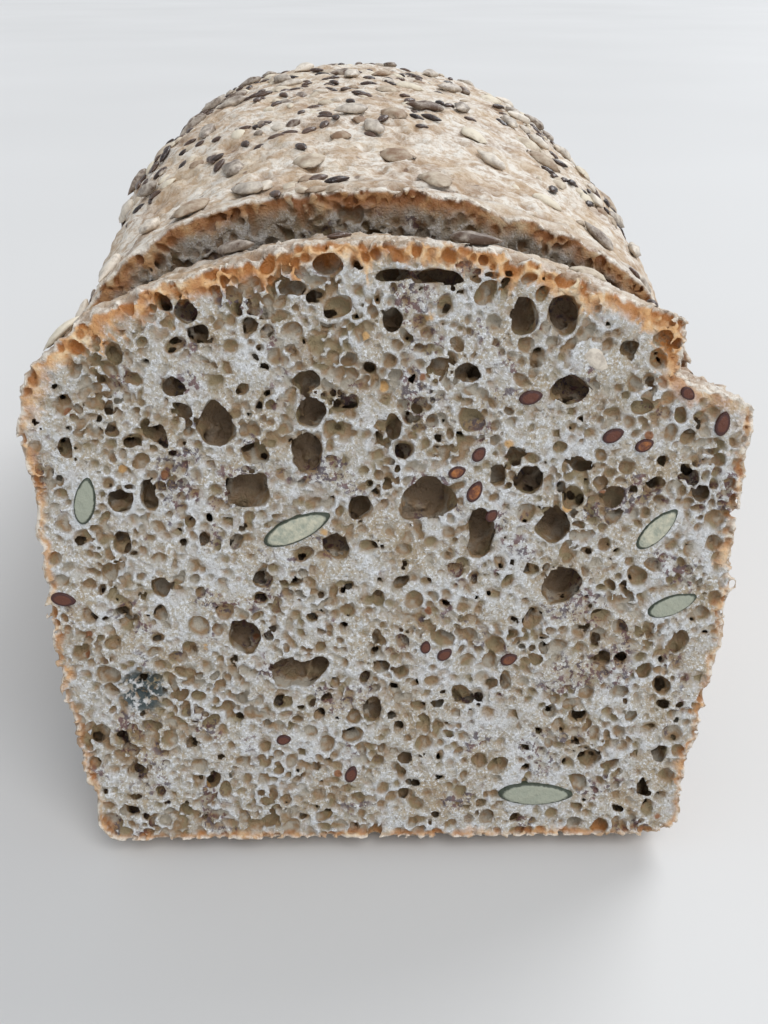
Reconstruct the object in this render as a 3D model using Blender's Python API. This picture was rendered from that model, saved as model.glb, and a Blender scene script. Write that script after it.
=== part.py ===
"""A cut tin loaf of multigrain bread, with its first slice leaning on the cut face.

Metres, +Z up. The origin is the middle of the footprint, on the surface the bread stands on.
X runs across the loaf and Y along it, from the leaning slice to the uncut end.
"""

import math
import random

import bmesh
import bpy
from mathutils import Matrix, Vector, noise

# Driving dimensions of the whole
TOTAL_LENGTH = 0.240
SLICE_THICKNESS = 0.022
SLICE_LEAN = math.radians(10.2)
CLEARANCE = 0.0006

# Cross-section: flat underside, flared tin walls and a risen dome
SLICE_HALF_WIDTH = 0.0592
SLICE_SHOULDER = 0.0755
SLICE_CREST = 0.1058
SLICE_SKEW = 0.0010
FOOT_SHARE = 0.905
FOOT_RADIUS = 0.0070
WALL_POWER = 0.55
DOME_POWER = 1.70

# The loaf behind the slice is a little larger, and at its middle largest, fuller and more lopsided
CUT_HALF_WIDTH = 0.0588
CUT_SHOULDER = 0.0745
CUT_CREST = 0.1125
CUT_SKEW = 0.0040
MIDDLE_HALF_WIDTH = 0.0620
MIDDLE_SHOULDER = 0.0800
MIDDLE_CREST = 0.1180
MIDDLE_SKEW = 0.0080
MIDDLE_DOME_POWER = 2.05
SWELL_LENGTH = 0.085
END_SLOPE_LENGTH = 0.060
END_SLOPE_DROP = 0.010
END_DEPTH = 0.026
END_SIDE_INSET = 0.017
END_TOP_INSET = 0.024
END_FOOT_RISE = 0.005

# Number of points round a section and of rings along the solids
BASE_STEPS = 7
CORNER_STEPS = 3
WALL_STEPS = 7
DOME_STEPS = 15
SLICE_DETAIL = 2
SLICE_RINGS = 3
LOAF_RINGS = 17
END_RINGS = 6
CAP_SHARES = (0.70, 0.36)

# Relief of the baked crust, always inward from the section
SWELL_RELIEF = 0.0030
SWELL_SIZE = 0.026
CRAG_RELIEF = 0.0012
CRAG_SIZE = 0.0065
CORE_HEIGHT = 0.050
FLAT_FOOT = 0.006

# The crust is torn away at the right shoulder of the slice: start, inner corner, end (x, z)
TORN_SHOULDER = ((0.0455, 0.0915), (0.0446, 0.0836), (0.0556, 0.0786))

# Large holes on the slice's face: x, z, width, height
SLICE_HOLES = (
    (0.0063, 0.0634, 0.0095, 0.0083),
    (-0.0128, 0.0716, 0.0057, 0.0079),
    (-0.0117, 0.0780, 0.0057, 0.0047),
    (-0.0267, 0.0758, 0.0065, 0.0076),
    (0.0284, 0.0483, 0.0070, 0.0071),
    (0.0262, 0.0925, 0.0049, 0.0060),
    (0.0204, 0.0922, 0.0045, 0.0060),
    (0.0150, 0.0580, 0.0053, 0.0100),
    (0.0267, 0.0593, 0.0061, 0.0064),
    (-0.0225, 0.0655, 0.0078, 0.0070),
    (-0.0043, 0.0622, 0.0043, 0.0045),
    (-0.0086, 0.0558, 0.0048, 0.0051),
    (0.0278, 0.0814, 0.0061, 0.0042),
    (-0.0302, 0.0935, 0.0041, 0.0041),
    (0.0075, 0.0978, 0.0088, 0.0024),
    (-0.0158, 0.0336, 0.0115, 0.0062),
    (-0.0234, 0.0400, 0.0058, 0.0069),
    (-0.0424, 0.0636, 0.0039, 0.0041),
)
HOLE_DEPTH_SHARE = 0.75
HOLE_SINK_SHARE = 0.12
HOLE_ROUGHNESS = 0.16
HOLE_WOBBLES = 3
HOLE_EDGE_MARGIN = 0.010
STREWN_HOLE_WIDTHS = (0.004, 0.008)
STREWN_HOLE_ASPECTS = (0.7, 1.3)
STREWN_HOLE_SPACING = 0.8
BACK_HOLES = 6
BACK_HOLE_RANDOM = 7
CUT_HOLES = 11
CUT_HOLE_RANDOM = 11

# Seeds: length, width and thickness
PUMPKIN = (0.0132, 0.0045, 0.0030)
SUNFLOWER = (0.0088, 0.0048, 0.0028)
FLAKE = (0.0078, 0.0062, 0.0016)
FLAX = (0.0046, 0.0025, 0.0014)
SEED_SIDES = 6
SEED_RINGS = 3
SEED_TAIL_WIDTH = 0.72
SEED_SWELL = 0.56
SEED_SWELL_END = 1.2
SEED_PROUD_SHARE = 0.30
FACE_PROUD = 0.0007

# Seeds cut or laid bare by the knife on the slice's face: size, x, z, turn in degrees, length share
FACE_SEEDS = (
    (PUMPKIN, -0.0146, 0.0589, 24.0, 0.88),
    (PUMPKIN, -0.0479, 0.0638, 78.0, 0.60),
    (PUMPKIN, 0.0432, 0.0585, 48.0, 0.66),
    (PUMPKIN, 0.0468, 0.0452, 22.0, 0.64),
    (PUMPKIN, 0.0259, 0.0091, -2.0, 1.00),
    (SUNFLOWER, 0.0317, 0.0853, -30.0, 0.75),
    (FLAX, 0.0137, 0.0650, 62.0, 0.80),
    (FLAX, 0.0219, 0.0801, 14.0, 0.80),
    (FLAX, 0.0400, 0.0724, 24.0, 0.65),
    (FLAX, 0.0519, 0.0758, 80.0, 0.85),
    (FLAX, -0.0065, 0.0135, 70.0, 0.70),
    (FLAX, 0.0202, 0.0355, 25.0, 0.65),
)

# Seeds lying on the slice's own crust: size, x, distance behind the face, turn in degrees
SLICE_CRUST_SEEDS = (
    (SUNFLOWER, 0.0125, 0.0055, 5.0),
    (FLAKE, -0.0500, 0.0050, 20.0),
    (FLAKE, 0.0310, 0.0135, 60.0),
    (SUNFLOWER, -0.0240, 0.0140, -40.0),
    (FLAX, -0.0080, 0.0105, 30.0),
    (FLAX, 0.0420, 0.0090, 80.0),
)

# Seeds strewn over the loaf's dome before baking: size, number, least distance apart
DOME_SEEDS = (
    (SUNFLOWER, 62, 0.0095),
    (FLAKE, 24, 0.0085),
    (FLAX, 18, 0.0070),
)
DOME_SEED_RANDOM = 41
DOME_SEED_EDGE = 0.006
DOME_SEED_LOWEST = 0.074
DOME_SEED_SHOULDER_ANGLE = 0.12
DOME_SEED_GROWTH = (0.85, 1.1)
DOME_SEED_TRIES = 4000
SLOPE_STEP = 0.0015
SLOPE_ANGLE = 0.03

SHARP_ANGLE = math.radians(35)

CRUMB_COLOUR = (0.30, 0.27, 0.22, 1.0)
CRUST_COLOUR = (0.46, 0.36, 0.25, 1.0)
CRUMB_ROUGHNESS = 0.85
CRUST_ROUGHNESS = 0.75

FRONT_Y = -TOTAL_LENGTH / 2
END_Y = TOTAL_LENGTH / 2
SLICE_FOOT_Y = FRONT_Y + SLICE_THICKNESS * math.cos(SLICE_LEAN)
CUT_Y = SLICE_FOOT_Y + SLICE_CREST * math.sin(SLICE_LEAN) + CLEARANCE


def clear_scene():
    """Remove every object of the open scene."""
    for obj in list(bpy.data.objects):
        bpy.data.objects.remove(obj, do_unlink=True)


def make_material(name, colour, roughness):
    """A plain Principled material."""
    material = bpy.data.materials.new(name)
    material.use_nodes = True
    shader = material.node_tree.nodes["Principled BSDF"]
    shader.inputs["Base Color"].default_value = colour
    shader.inputs["Roughness"].default_value = roughness
    shader.inputs["Metallic"].default_value = 0.0
    return material


def dome_spot(half_width, shoulder, crest, skew, power, angle):
    """Point of the dome as (x, z); the angle runs from 0 at the right shoulder to pi at the left."""
    cosine = math.cos(angle)
    x = math.copysign(half_width * abs(cosine) ** (2 / power), cosine) - skew * math.sin(angle)
    return x, shoulder + (crest - shoulder) * math.sin(angle)


def section(half_width, shoulder, crest, skew, power=DOME_POWER, base=0.0, detail=1):
    """Outline across the loaf as (x, z), anticlockwise from the middle of its underside."""
    foot = half_width * FOOT_SHARE
    corner_x = foot - FOOT_RADIUS
    corner_z = base + FOOT_RADIUS
    right = []
    steps = BASE_STEPS * detail
    for k in range(steps):
        right.append((corner_x * k / steps, base))
    steps = CORNER_STEPS * detail
    for k in range(steps):
        angle = math.pi / 2 * k / steps
        right.append((corner_x + FOOT_RADIUS * math.sin(angle), corner_z - FOOT_RADIUS * math.cos(angle)))
    steps = WALL_STEPS * detail
    for k in range(steps):
        share = k / steps
        wall_x = foot + (half_width - foot) * share ** WALL_POWER
        right.append((wall_x, corner_z + (shoulder - corner_z) * share))
    left = [(-x, z) for x, z in reversed(right[1:])]
    steps = 2 * DOME_STEPS * detail
    angles = [math.pi * k / steps for k in range(steps + 1)]
    dome = [dome_spot(half_width, shoulder, crest, skew, power, angle) for angle in angles]
    return right + dome + left


def smooth(value, low, high):
    """Smooth step from 0 at low to 1 at high."""
    share = min(max((value - low) / (high - low), 0.0), 1.0)
    return share * share * (3 - 2 * share)


def relief_depth(point):
    """How far the crust lies inside its section at a point: broad swells and small crags."""
    swell = 0.5 + 0.5 * noise.noise(point / SWELL_SIZE)
    crag = 0.5 + 0.5 * noise.noise(point / CRAG_SIZE)
    return (SWELL_RELIEF * swell + CRAG_RELIEF * crag) * smooth(point.z, 0.0, FLAT_FOOT)


def sink_relief(point, core):
    """The point moved towards the core by the crust's relief."""
    outward = (point - core).normalized()
    return point - outward * relief_depth(point)


def tear_shoulder(ring):
    """Moves the ring's points at the right shoulder onto the torn edge."""
    start, corner, end = (Vector((x, ring[0].y, z)) for x, z in TORN_SHOULDER)
    torn = [spot for spot in ring if spot.x > start.x and spot.z > end.z]
    first = (end - corner).length
    total = first + (corner - start).length
    for order, spot in enumerate(torn):
        along = total * order / (len(torn) - 1)
        if along < first:
            target = end.lerp(corner, along / first)
        else:
            target = corner.lerp(start, (along - first) / (total - first))
        spot.xz = target.xz
    return ring


def slice_ring(depth, detail=SLICE_DETAIL):
    """The slice's outline at a depth behind its face, in the slice's own upright frame."""
    outline = section(SLICE_HALF_WIDTH, SLICE_SHOULDER, SLICE_CREST, SLICE_SKEW, detail=detail)
    core = Vector((0.0, depth, CORE_HEIGHT))
    return tear_shoulder([sink_relief(Vector((x, depth, z)), core) for x, z in outline])


def slice_matrix():
    """Places the slice's own frame, whose Y is the depth behind the face, in the part's frame."""
    back_edge = Matrix.Translation((0.0, SLICE_FOOT_Y, 0.0))
    return back_edge @ Matrix.Rotation(-SLICE_LEAN, 4, "X") @ Matrix.Translation((0.0, -SLICE_THICKNESS, 0.0))


def loaf_sizes(y):
    """Half width, shoulder, crest, skew, dome power and underside height of the loaf at a place y."""
    swelling = math.sin(math.pi / 2 * min((y - CUT_Y) / SWELL_LENGTH, 1.0)) ** 2
    half_width = CUT_HALF_WIDTH + (MIDDLE_HALF_WIDTH - CUT_HALF_WIDTH) * swelling
    shoulder = CUT_SHOULDER + (MIDDLE_SHOULDER - CUT_SHOULDER) * swelling
    crest = CUT_CREST + (MIDDLE_CREST - CUT_CREST) * swelling
    skew = CUT_SKEW + (MIDDLE_SKEW - CUT_SKEW) * swelling
    power = DOME_POWER + (MIDDLE_DOME_POWER - DOME_POWER) * swelling
    slope = max((y - (END_Y - END_SLOPE_LENGTH)) / END_SLOPE_LENGTH, 0.0)
    crest -= END_SLOPE_DROP * slope ** 2
    into_end = max((y - (END_Y - END_DEPTH)) / END_DEPTH, 0.0)
    inset = 1 - math.sqrt(max(1 - into_end ** 2, 0.0))
    half_width -= END_SIDE_INSET * inset
    crest -= END_TOP_INSET * inset
    shoulder -= END_TOP_INSET / 2 * inset
    return half_width, shoulder, crest, skew, power, END_FOOT_RISE * inset


def loaf_core(y):
    """The point inside the loaf that the relief at a place y is measured from."""
    return Vector((0.0, min(y, END_Y - 2 * END_DEPTH), CORE_HEIGHT))


def loaf_ring(y):
    """One ring of the loaf's crust at a place y."""
    return [sink_relief(Vector((x, y, z)), loaf_core(y)) for x, z in section(*loaf_sizes(y))]


def cap_ring(share):
    """A ring of the flat end wall, drawn in towards its middle."""
    points = section(*loaf_sizes(END_Y))
    heights = [z for x, z in points]
    middle = (min(heights) + max(heights)) / 2
    spots = [Vector((x * share, END_Y, middle + (z - middle) * share)) for x, z in points]
    return [sink_relief(spot, loaf_core(END_Y)) for spot in spots]


def ring_places():
    """Places along the loaf: even to the start of the rounded end, then by angle."""
    straight = END_Y - END_DEPTH - CUT_Y
    places = [CUT_Y + straight * k / LOAF_RINGS for k in range(LOAF_RINGS)]
    for k in range(END_RINGS + 1):
        places.append(END_Y - END_DEPTH + END_DEPTH * math.sin(math.pi / 2 * k / END_RINGS))
    return places


def loft(name, rings):
    """A closed body through rings of equal point counts, with a flat face at each end."""
    mesh = bpy.data.meshes.new(name)
    body = bmesh.new()
    rows = [[body.verts.new(point) for point in ring] for ring in rings]
    count = len(rows[0])
    for row, following in zip(rows, rows[1:]):
        for k in range(count):
            after = (k + 1) % count
            body.faces.new((row[k], row[after], following[after], following[k]))
    body.faces.new(list(reversed(rows[0])))
    body.faces.new(rows[-1])
    bmesh.ops.recalc_face_normals(body, faces=body.faces)
    body.to_mesh(mesh)
    body.free()
    return bpy.data.objects.new(name, mesh)


def make_seed(name, size, place):
    """A pointed seed of the given length, width and thickness."""
    mesh = bpy.data.meshes.new(name)
    body = bmesh.new()
    bmesh.ops.create_uvsphere(body, u_segments=SEED_SIDES, v_segments=SEED_RINGS, radius=0.5)
    for vert in body.verts:
        along = vert.co.z + 0.5
        narrow = SEED_TAIL_WIDTH + SEED_SWELL * along * (SEED_SWELL_END - along)
        vert.co = Vector((vert.co.z * size[0], vert.co.x * size[1] * narrow, vert.co.y * size[2]))
    bmesh.ops.triangulate(body, faces=body.faces)
    bmesh.ops.recalc_face_normals(body, faces=body.faces)
    body.transform(place)
    body.to_mesh(mesh)
    body.free()
    return bpy.data.objects.new(name, mesh)


def make_hole(name, width, height, place, seed):
    """An uneven bubble that cuts a hole as wide and high as given."""
    mesh = bpy.data.meshes.new(name)
    body = bmesh.new()
    bmesh.ops.create_icosphere(body, subdivisions=2, radius=0.5)
    for vert in body.verts:
        wobble = 1 + HOLE_ROUGHNESS * noise.noise(vert.co * HOLE_WOBBLES + Vector((seed, 0.0, 0.0)))
        depth = HOLE_DEPTH_SHARE * (width + height)
        vert.co = Vector((vert.co.x * width, vert.co.y * depth, vert.co.z * height)) * wobble
    body.transform(place)
    body.to_mesh(mesh)
    body.free()
    return bpy.data.objects.new(name, mesh)


def frame_at(origin, across, normal, turn):
    """A frame whose Z is the surface normal and whose X is turned from a tangent by an angle."""
    z_axis = normal.normalized()
    x_axis = (across - z_axis * across.dot(z_axis)).normalized()
    y_axis = z_axis.cross(x_axis)
    frame = Matrix((x_axis, y_axis, z_axis)).transposed().to_4x4()
    return Matrix.Translation(origin) @ frame @ Matrix.Rotation(turn, 4, "Z")


def dome_point(y, angle):
    """Point of the loaf's crust over the dome; the angle runs from 0 at right to pi at left."""
    x, z = dome_spot(*loaf_sizes(y)[:5], angle)
    return sink_relief(Vector((x, y, z)), loaf_core(y))


def dome_frame(y, angle, turn, lift):
    """Frame on the dome's crust for a seed whose middle is raised by lift."""
    here = dome_point(y, angle)
    along = dome_point(y + SLOPE_STEP, angle) - dome_point(y - SLOPE_STEP, angle)
    across = dome_point(y, angle - SLOPE_ANGLE) - dome_point(y, angle + SLOPE_ANGLE)
    normal = across.cross(along).normalized()
    return frame_at(here + normal * lift, along, normal, turn)


def dome_seeds():
    """Size and frame of each seed strewn on the dome, the largest kinds placed first."""
    draw = random.Random(DOME_SEED_RANDOM)
    placed = []
    spots = []
    for size, number, apart in DOME_SEEDS:
        left = number
        for _ in range(DOME_SEED_TRIES):
            if left == 0:
                break
            y = draw.uniform(CUT_Y + DOME_SEED_EDGE, END_Y - DOME_SEED_EDGE)
            angle = draw.uniform(DOME_SEED_SHOULDER_ANGLE, math.pi - DOME_SEED_SHOULDER_ANGLE)
            turn = draw.uniform(0, math.pi)
            share = draw.uniform(*DOME_SEED_GROWTH)
            here = dome_point(y, angle)
            close = any((here - spot).length < apart for spot in spots)
            if close or here.z < DOME_SEED_LOWEST:
                continue
            spots.append(here)
            grown = tuple(side * share for side in size)
            lift = grown[2] * SEED_PROUD_SHARE / 2
            placed.append((grown, dome_frame(y, angle, turn, lift)))
            left -= 1
    return placed


def face_seeds():
    """Size and frame of each seed on the slice's face, in the slice's own frame."""
    placed = []
    for size, x, z, turn, share in FACE_SEEDS:
        grown = (size[0] * share, size[1] * share ** 0.5, size[2])
        origin = Vector((x, size[2] / 2 - FACE_PROUD, z))
        placed.append((grown, frame_at(origin, Vector((1, 0, 0)), Vector((0, -1, 0)), math.radians(turn))))
    return placed


def slice_crust_seeds():
    """Size and frame of each seed on the slice's top crust, in the slice's own frame."""
    placed = []
    for size, x, depth, turn in SLICE_CRUST_SEEDS:
        ring = slice_ring(depth)
        upper = [p for p in ring if p.z > SLICE_SHOULDER]
        near = min(range(1, len(upper) - 1), key=lambda k: abs(upper[k].x - x))
        across = upper[near - 1] - upper[near + 1]
        normal = across.cross(Vector((0, 1, 0))).normalized()
        if normal.z < 0:
            normal = -normal
        origin = upper[near] + normal * size[2] * SEED_PROUD_SHARE
        placed.append((size, frame_at(origin, Vector((1, 0, 0)), normal, math.radians(turn))))
    return placed


def seed_collection(name, seeds):
    """The seeds as separate objects in a collection of their own."""
    group = bpy.data.collections.new(name)
    for k, (size, place) in enumerate(seeds):
        group.objects.link(make_seed(f"{name}_{k}", size, place))
    return group


def strewn_holes(number, seed, half_width, crest):
    """Places and sizes of holes spread over a cut face: x, z, width, height."""
    draw = random.Random(seed)
    holes = []
    while len(holes) < number:
        x = draw.uniform(-1, 1) * (half_width - HOLE_EDGE_MARGIN)
        z = draw.uniform(HOLE_EDGE_MARGIN, crest - HOLE_EDGE_MARGIN)
        width = draw.uniform(*STREWN_HOLE_WIDTHS)
        height = width * draw.uniform(*STREWN_HOLE_ASPECTS)
        rim = SLICE_SHOULDER + (crest - SLICE_SHOULDER) * math.sqrt(1 - (abs(x) / half_width) ** DOME_POWER)
        apart = all(math.hypot(x - a, z - b) > (width + c) * STREWN_HOLE_SPACING for a, b, c, _ in holes)
        if apart and z < rim - HOLE_EDGE_MARGIN:
            holes.append((x, z, width, height))
    return holes


def hole_collection(name, holes, face_y, side):
    """Bubbles for the holes on a face at face_y; side is 1 where the crumb lies towards +Y."""
    group = bpy.data.collections.new(name)
    for k, (x, z, width, height) in enumerate(holes):
        inward = side * HOLE_SINK_SHARE * (width + height)
        place = Matrix.Translation((x, face_y + inward, z))
        group.objects.link(make_hole(f"{name}_{k}", width, height, place, k))
    return group


def combine(obj, group, operation):
    """Join or cut the object with every object of the group, apply it and remove them."""
    modifier = obj.modifiers.new(operation.lower(), "BOOLEAN")
    modifier.operation = operation
    modifier.operand_type = "COLLECTION"
    modifier.collection = group
    modifier.solver = "EXACT"
    evaluated = obj.evaluated_get(bpy.context.evaluated_depsgraph_get())
    joined = bpy.data.meshes.new_from_object(evaluated)
    obj.modifiers.remove(modifier)
    obj.data = joined
    for cutter in list(group.objects):
        bpy.data.objects.remove(cutter, do_unlink=True)
    bpy.data.collections.remove(group)


def shells_of(body):
    """The vertices of each connected shell."""
    unseen = set(body.verts)
    shells = []
    while unseen:
        front = [unseen.pop()]
        shell = set(front)
        while front:
            vert = front.pop()
            for edge in vert.link_edges:
                other = edge.other_vert(vert)
                if other in unseen:
                    unseen.remove(other)
                    shell.add(other)
                    front.append(other)
        shells.append(shell)
    return shells


def keep_main_shell(obj):
    """Drop loose scraps and fill sealed hollows, leaving one closed body of triangles."""
    body = bmesh.new()
    body.from_mesh(obj.data)
    shells = sorted(shells_of(body), key=len)
    for shell in shells[:-1]:
        bmesh.ops.delete(body, geom=list(shell), context="VERTS")
    bmesh.ops.triangulate(body, faces=body.faces)
    body.to_mesh(obj.data)
    body.free()


def finish(obj, material, matrix=None):
    """Give the solid its material and place, and shade it smooth."""
    if matrix is not None:
        obj.data.transform(matrix)
    obj.data.materials.clear()
    obj.data.materials.append(material)
    obj.data.shade_smooth()
    obj.data.set_sharp_from_angle(angle=SHARP_ANGLE)


def make_slice(parts):
    """The leaning slice: crust outline with a torn shoulder, holes on both faces, seeds."""
    depths = [SLICE_THICKNESS * k / SLICE_RINGS for k in range(SLICE_RINGS + 1)]
    obj = loft("slice", [slice_ring(depth) for depth in depths])
    parts.objects.link(obj)
    combine(obj, hole_collection("face_holes", SLICE_HOLES, 0.0, 1), "DIFFERENCE")
    back = strewn_holes(BACK_HOLES, BACK_HOLE_RANDOM, SLICE_HALF_WIDTH, SLICE_CREST)
    combine(obj, hole_collection("back_holes", back, SLICE_THICKNESS, -1), "DIFFERENCE")
    combine(obj, seed_collection("slice_seeds", face_seeds() + slice_crust_seeds()), "UNION")
    keep_main_shell(obj)
    finish(obj, make_material("crumb", CRUMB_COLOUR, CRUMB_ROUGHNESS), slice_matrix())


def make_loaf(parts):
    """The rest of the loaf: crust, holes on its cut face, seeds over its dome."""
    rings = [loaf_ring(y) for y in ring_places()]
    rings += [cap_ring(share) for share in CAP_SHARES]
    obj = loft("loaf", rings)
    parts.objects.link(obj)
    holes = strewn_holes(CUT_HOLES, CUT_HOLE_RANDOM, CUT_HALF_WIDTH, CUT_CREST)
    combine(obj, hole_collection("cut_holes", holes, CUT_Y, 1), "DIFFERENCE")
    combine(obj, seed_collection("dome_seeds", dome_seeds()), "UNION")
    keep_main_shell(obj)
    finish(obj, make_material("crust", CRUST_COLOUR, CRUST_ROUGHNESS))


def main():
    """Build the bread."""
    clear_scene()
    parts = bpy.data.collections.new("multigrain_bread_loaf")
    bpy.context.scene.collection.children.link(parts)
    make_slice(parts)
    make_loaf(parts)


main()
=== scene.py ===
"""Looks of the cut multigrain loaf: open crumb, craggy crust, flour and seeds.

Metres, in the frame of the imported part: +Y runs along the loaf from the leaning slice to the
uncut end and +Z is up. The slice is shaped in its own upright frame, whose Y is the depth behind
its face, and is then leaned back onto the loaf.
"""

import math
import random

import bpy
import numpy as np
import openvdb
from mathutils import Matrix, Vector, noise


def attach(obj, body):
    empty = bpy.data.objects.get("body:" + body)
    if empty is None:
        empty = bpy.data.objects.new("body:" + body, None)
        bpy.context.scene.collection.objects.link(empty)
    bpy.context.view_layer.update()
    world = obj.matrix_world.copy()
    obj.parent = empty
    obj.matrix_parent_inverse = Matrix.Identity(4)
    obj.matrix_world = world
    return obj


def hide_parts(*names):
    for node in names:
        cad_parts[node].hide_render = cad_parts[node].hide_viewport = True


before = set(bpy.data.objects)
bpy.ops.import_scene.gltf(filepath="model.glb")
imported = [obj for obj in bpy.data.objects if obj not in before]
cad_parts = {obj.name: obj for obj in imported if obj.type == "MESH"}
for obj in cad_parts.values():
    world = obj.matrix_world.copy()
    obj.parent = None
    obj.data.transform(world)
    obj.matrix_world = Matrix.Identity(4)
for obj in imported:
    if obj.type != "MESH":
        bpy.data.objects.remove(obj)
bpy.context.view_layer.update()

MM = 0.001

# Shape of the bread, as in the part's source
TOTAL_LENGTH = 0.240
SLICE_THICKNESS = 0.022
SLICE_LEAN = math.radians(10.2)
CLEARANCE = 0.0006
FOOT_SHARE = 0.905
FOOT_RADIUS = 0.0070
WALL_POWER = 0.55
SWELL_LENGTH = 0.085
END_SLOPE_LENGTH = 0.060
END_SLOPE_DROP = 0.010
END_DEPTH = 0.026
END_SIDE_INSET = 0.017
END_TOP_INSET = 0.024
END_FOOT_RISE = 0.005
SWELL_RELIEF = 0.0030
SWELL_SIZE = 0.026
CRAG_RELIEF = 0.0012
CRAG_SIZE = 0.0065
CORE_HEIGHT = 0.050
FLAT_FOOT = 0.006
TORN_SHOULDER = ((0.0455, 0.0915), (0.0446, 0.0836), (0.0556, 0.0786))

# Profiles, as in the part's source: half width, shoulder, crest, skew and dome power
SLICE_PROFILE = (0.0592, 0.0755, 0.1058, 0.0010, 1.70)
CUT_PROFILE = (0.0588, 0.0745, 0.1125, 0.0040, 1.70)
MIDDLE_PROFILE = (0.0620, 0.0800, 0.1180, 0.0080, 2.05)
SLICE_HALF_WIDTH, SLICE_SHOULDER, SLICE_CREST, _, DOME_POWER = SLICE_PROFILE
CUT_HALF_WIDTH, _, CUT_CREST, _, _ = CUT_PROFILE

# Places along the bread
FRONT_Y = -TOTAL_LENGTH / 2
END_Y = TOTAL_LENGTH / 2
SLICE_FOOT_Y = FRONT_Y + SLICE_THICKNESS * math.cos(SLICE_LEAN)
CUT_Y = SLICE_FOOT_Y + SLICE_CREST * math.sin(SLICE_LEAN) + CLEARANCE

# Large holes on the slice's face, as in the part's source: x, z, width, height
SLICE_HOLES = (
    (0.0063, 0.0634, 0.0095, 0.0083),
    (-0.0128, 0.0716, 0.0057, 0.0079),
    (-0.0117, 0.0780, 0.0057, 0.0047),
    (-0.0267, 0.0758, 0.0065, 0.0076),
    (0.0284, 0.0483, 0.0070, 0.0071),
    (0.0262, 0.0925, 0.0049, 0.0060),
    (0.0204, 0.0922, 0.0045, 0.0060),
    (0.0150, 0.0580, 0.0053, 0.0100),
    (0.0267, 0.0593, 0.0061, 0.0064),
    (-0.0225, 0.0655, 0.0078, 0.0070),
    (-0.0043, 0.0622, 0.0043, 0.0045),
    (-0.0086, 0.0558, 0.0048, 0.0051),
    (0.0278, 0.0814, 0.0061, 0.0042),
    (-0.0302, 0.0935, 0.0041, 0.0041),
    (0.0075, 0.0978, 0.0088, 0.0024),
    (-0.0158, 0.0336, 0.0115, 0.0062),
    (-0.0234, 0.0400, 0.0058, 0.0069),
    (-0.0424, 0.0636, 0.0039, 0.0041),
)
HOLE_DEPTH_SHARE = 0.75
HOLE_SINK_SHARE = 0.12
HOLE_EDGE_MARGIN = 0.010
STREWN_HOLE_WIDTHS = (0.004, 0.008)
STREWN_HOLE_ASPECTS = (0.7, 1.3)
STREWN_HOLE_SPACING = 0.8
BACK_HOLES = 6
BACK_HOLE_RANDOM = 7
CUT_HOLES = 11
CUT_HOLE_RANDOM = 11

# Smaller holes that stand out on the slice's face: x, z, width, height
MEDIUM_HOLES = (
    (-0.0091, 0.1000, 0.0044, 0.0034),
    (0.0009, 0.0983, 0.0059, 0.0016),
    (-0.0285, 0.0899, 0.0034, 0.0034),
    (-0.0210, 0.0912, 0.0030, 0.0030),
    (-0.0147, 0.0969, 0.0028, 0.0027),
    (0.0010, 0.0923, 0.0030, 0.0040),
    (0.0120, 0.0837, 0.0041, 0.0031),
    (0.0080, 0.0846, 0.0027, 0.0027),
    (-0.0325, 0.0822, 0.0045, 0.0028),
    (-0.0128, 0.0824, 0.0049, 0.0034),
    (-0.0317, 0.0785, 0.0026, 0.0027),
    (-0.0359, 0.0749, 0.0031, 0.0032),
    (-0.0500, 0.0723, 0.0023, 0.0038),
    (-0.0380, 0.0645, 0.0031, 0.0058),
    (0.0301, 0.0690, 0.0027, 0.0033),
    (0.0220, 0.0670, 0.0047, 0.0049),
    (0.0171, 0.0675, 0.0031, 0.0041),
    (0.0200, 0.0706, 0.0027, 0.0036),
    (0.0497, 0.0645, 0.0029, 0.0030),
    (0.0475, 0.0673, 0.0025, 0.0026),
    (0.0366, 0.0878, 0.0030, 0.0030),
    (0.0473, 0.0170, 0.0028, 0.0032),
    (0.0449, 0.0095, 0.0028, 0.0033),
)

# Seeds, as in the part's source: length, width and thickness
PUMPKIN = (0.0132, 0.0045, 0.0030)
SUNFLOWER = (0.0088, 0.0048, 0.0028)
FLAKE = (0.0078, 0.0062, 0.0016)
FLAX = (0.0046, 0.0025, 0.0014)
SEED_PROUD_SHARE = 0.30
FACE_PROUD = 0.0007

# Seeds on the slice's face, as in the part's source: size, x, z, turn in degrees, length share
FACE_SEEDS = (
    (PUMPKIN, -0.0146, 0.0589, 24.0, 0.88),
    (PUMPKIN, -0.0479, 0.0638, 78.0, 0.60),
    (PUMPKIN, 0.0432, 0.0585, 48.0, 0.66),
    (PUMPKIN, 0.0468, 0.0452, 22.0, 0.64),
    (PUMPKIN, 0.0259, 0.0091, -2.0, 1.00),
    (SUNFLOWER, 0.0317, 0.0853, -30.0, 0.75),
    (FLAX, 0.0137, 0.0650, 62.0, 0.80),
    (FLAX, 0.0219, 0.0801, 14.0, 0.80),
    (FLAX, 0.0400, 0.0724, 24.0, 0.65),
    (FLAX, 0.0519, 0.0758, 80.0, 0.85),
    (FLAX, -0.0065, 0.0135, 70.0, 0.70),
    (FLAX, 0.0202, 0.0355, 25.0, 0.65),
)

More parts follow.
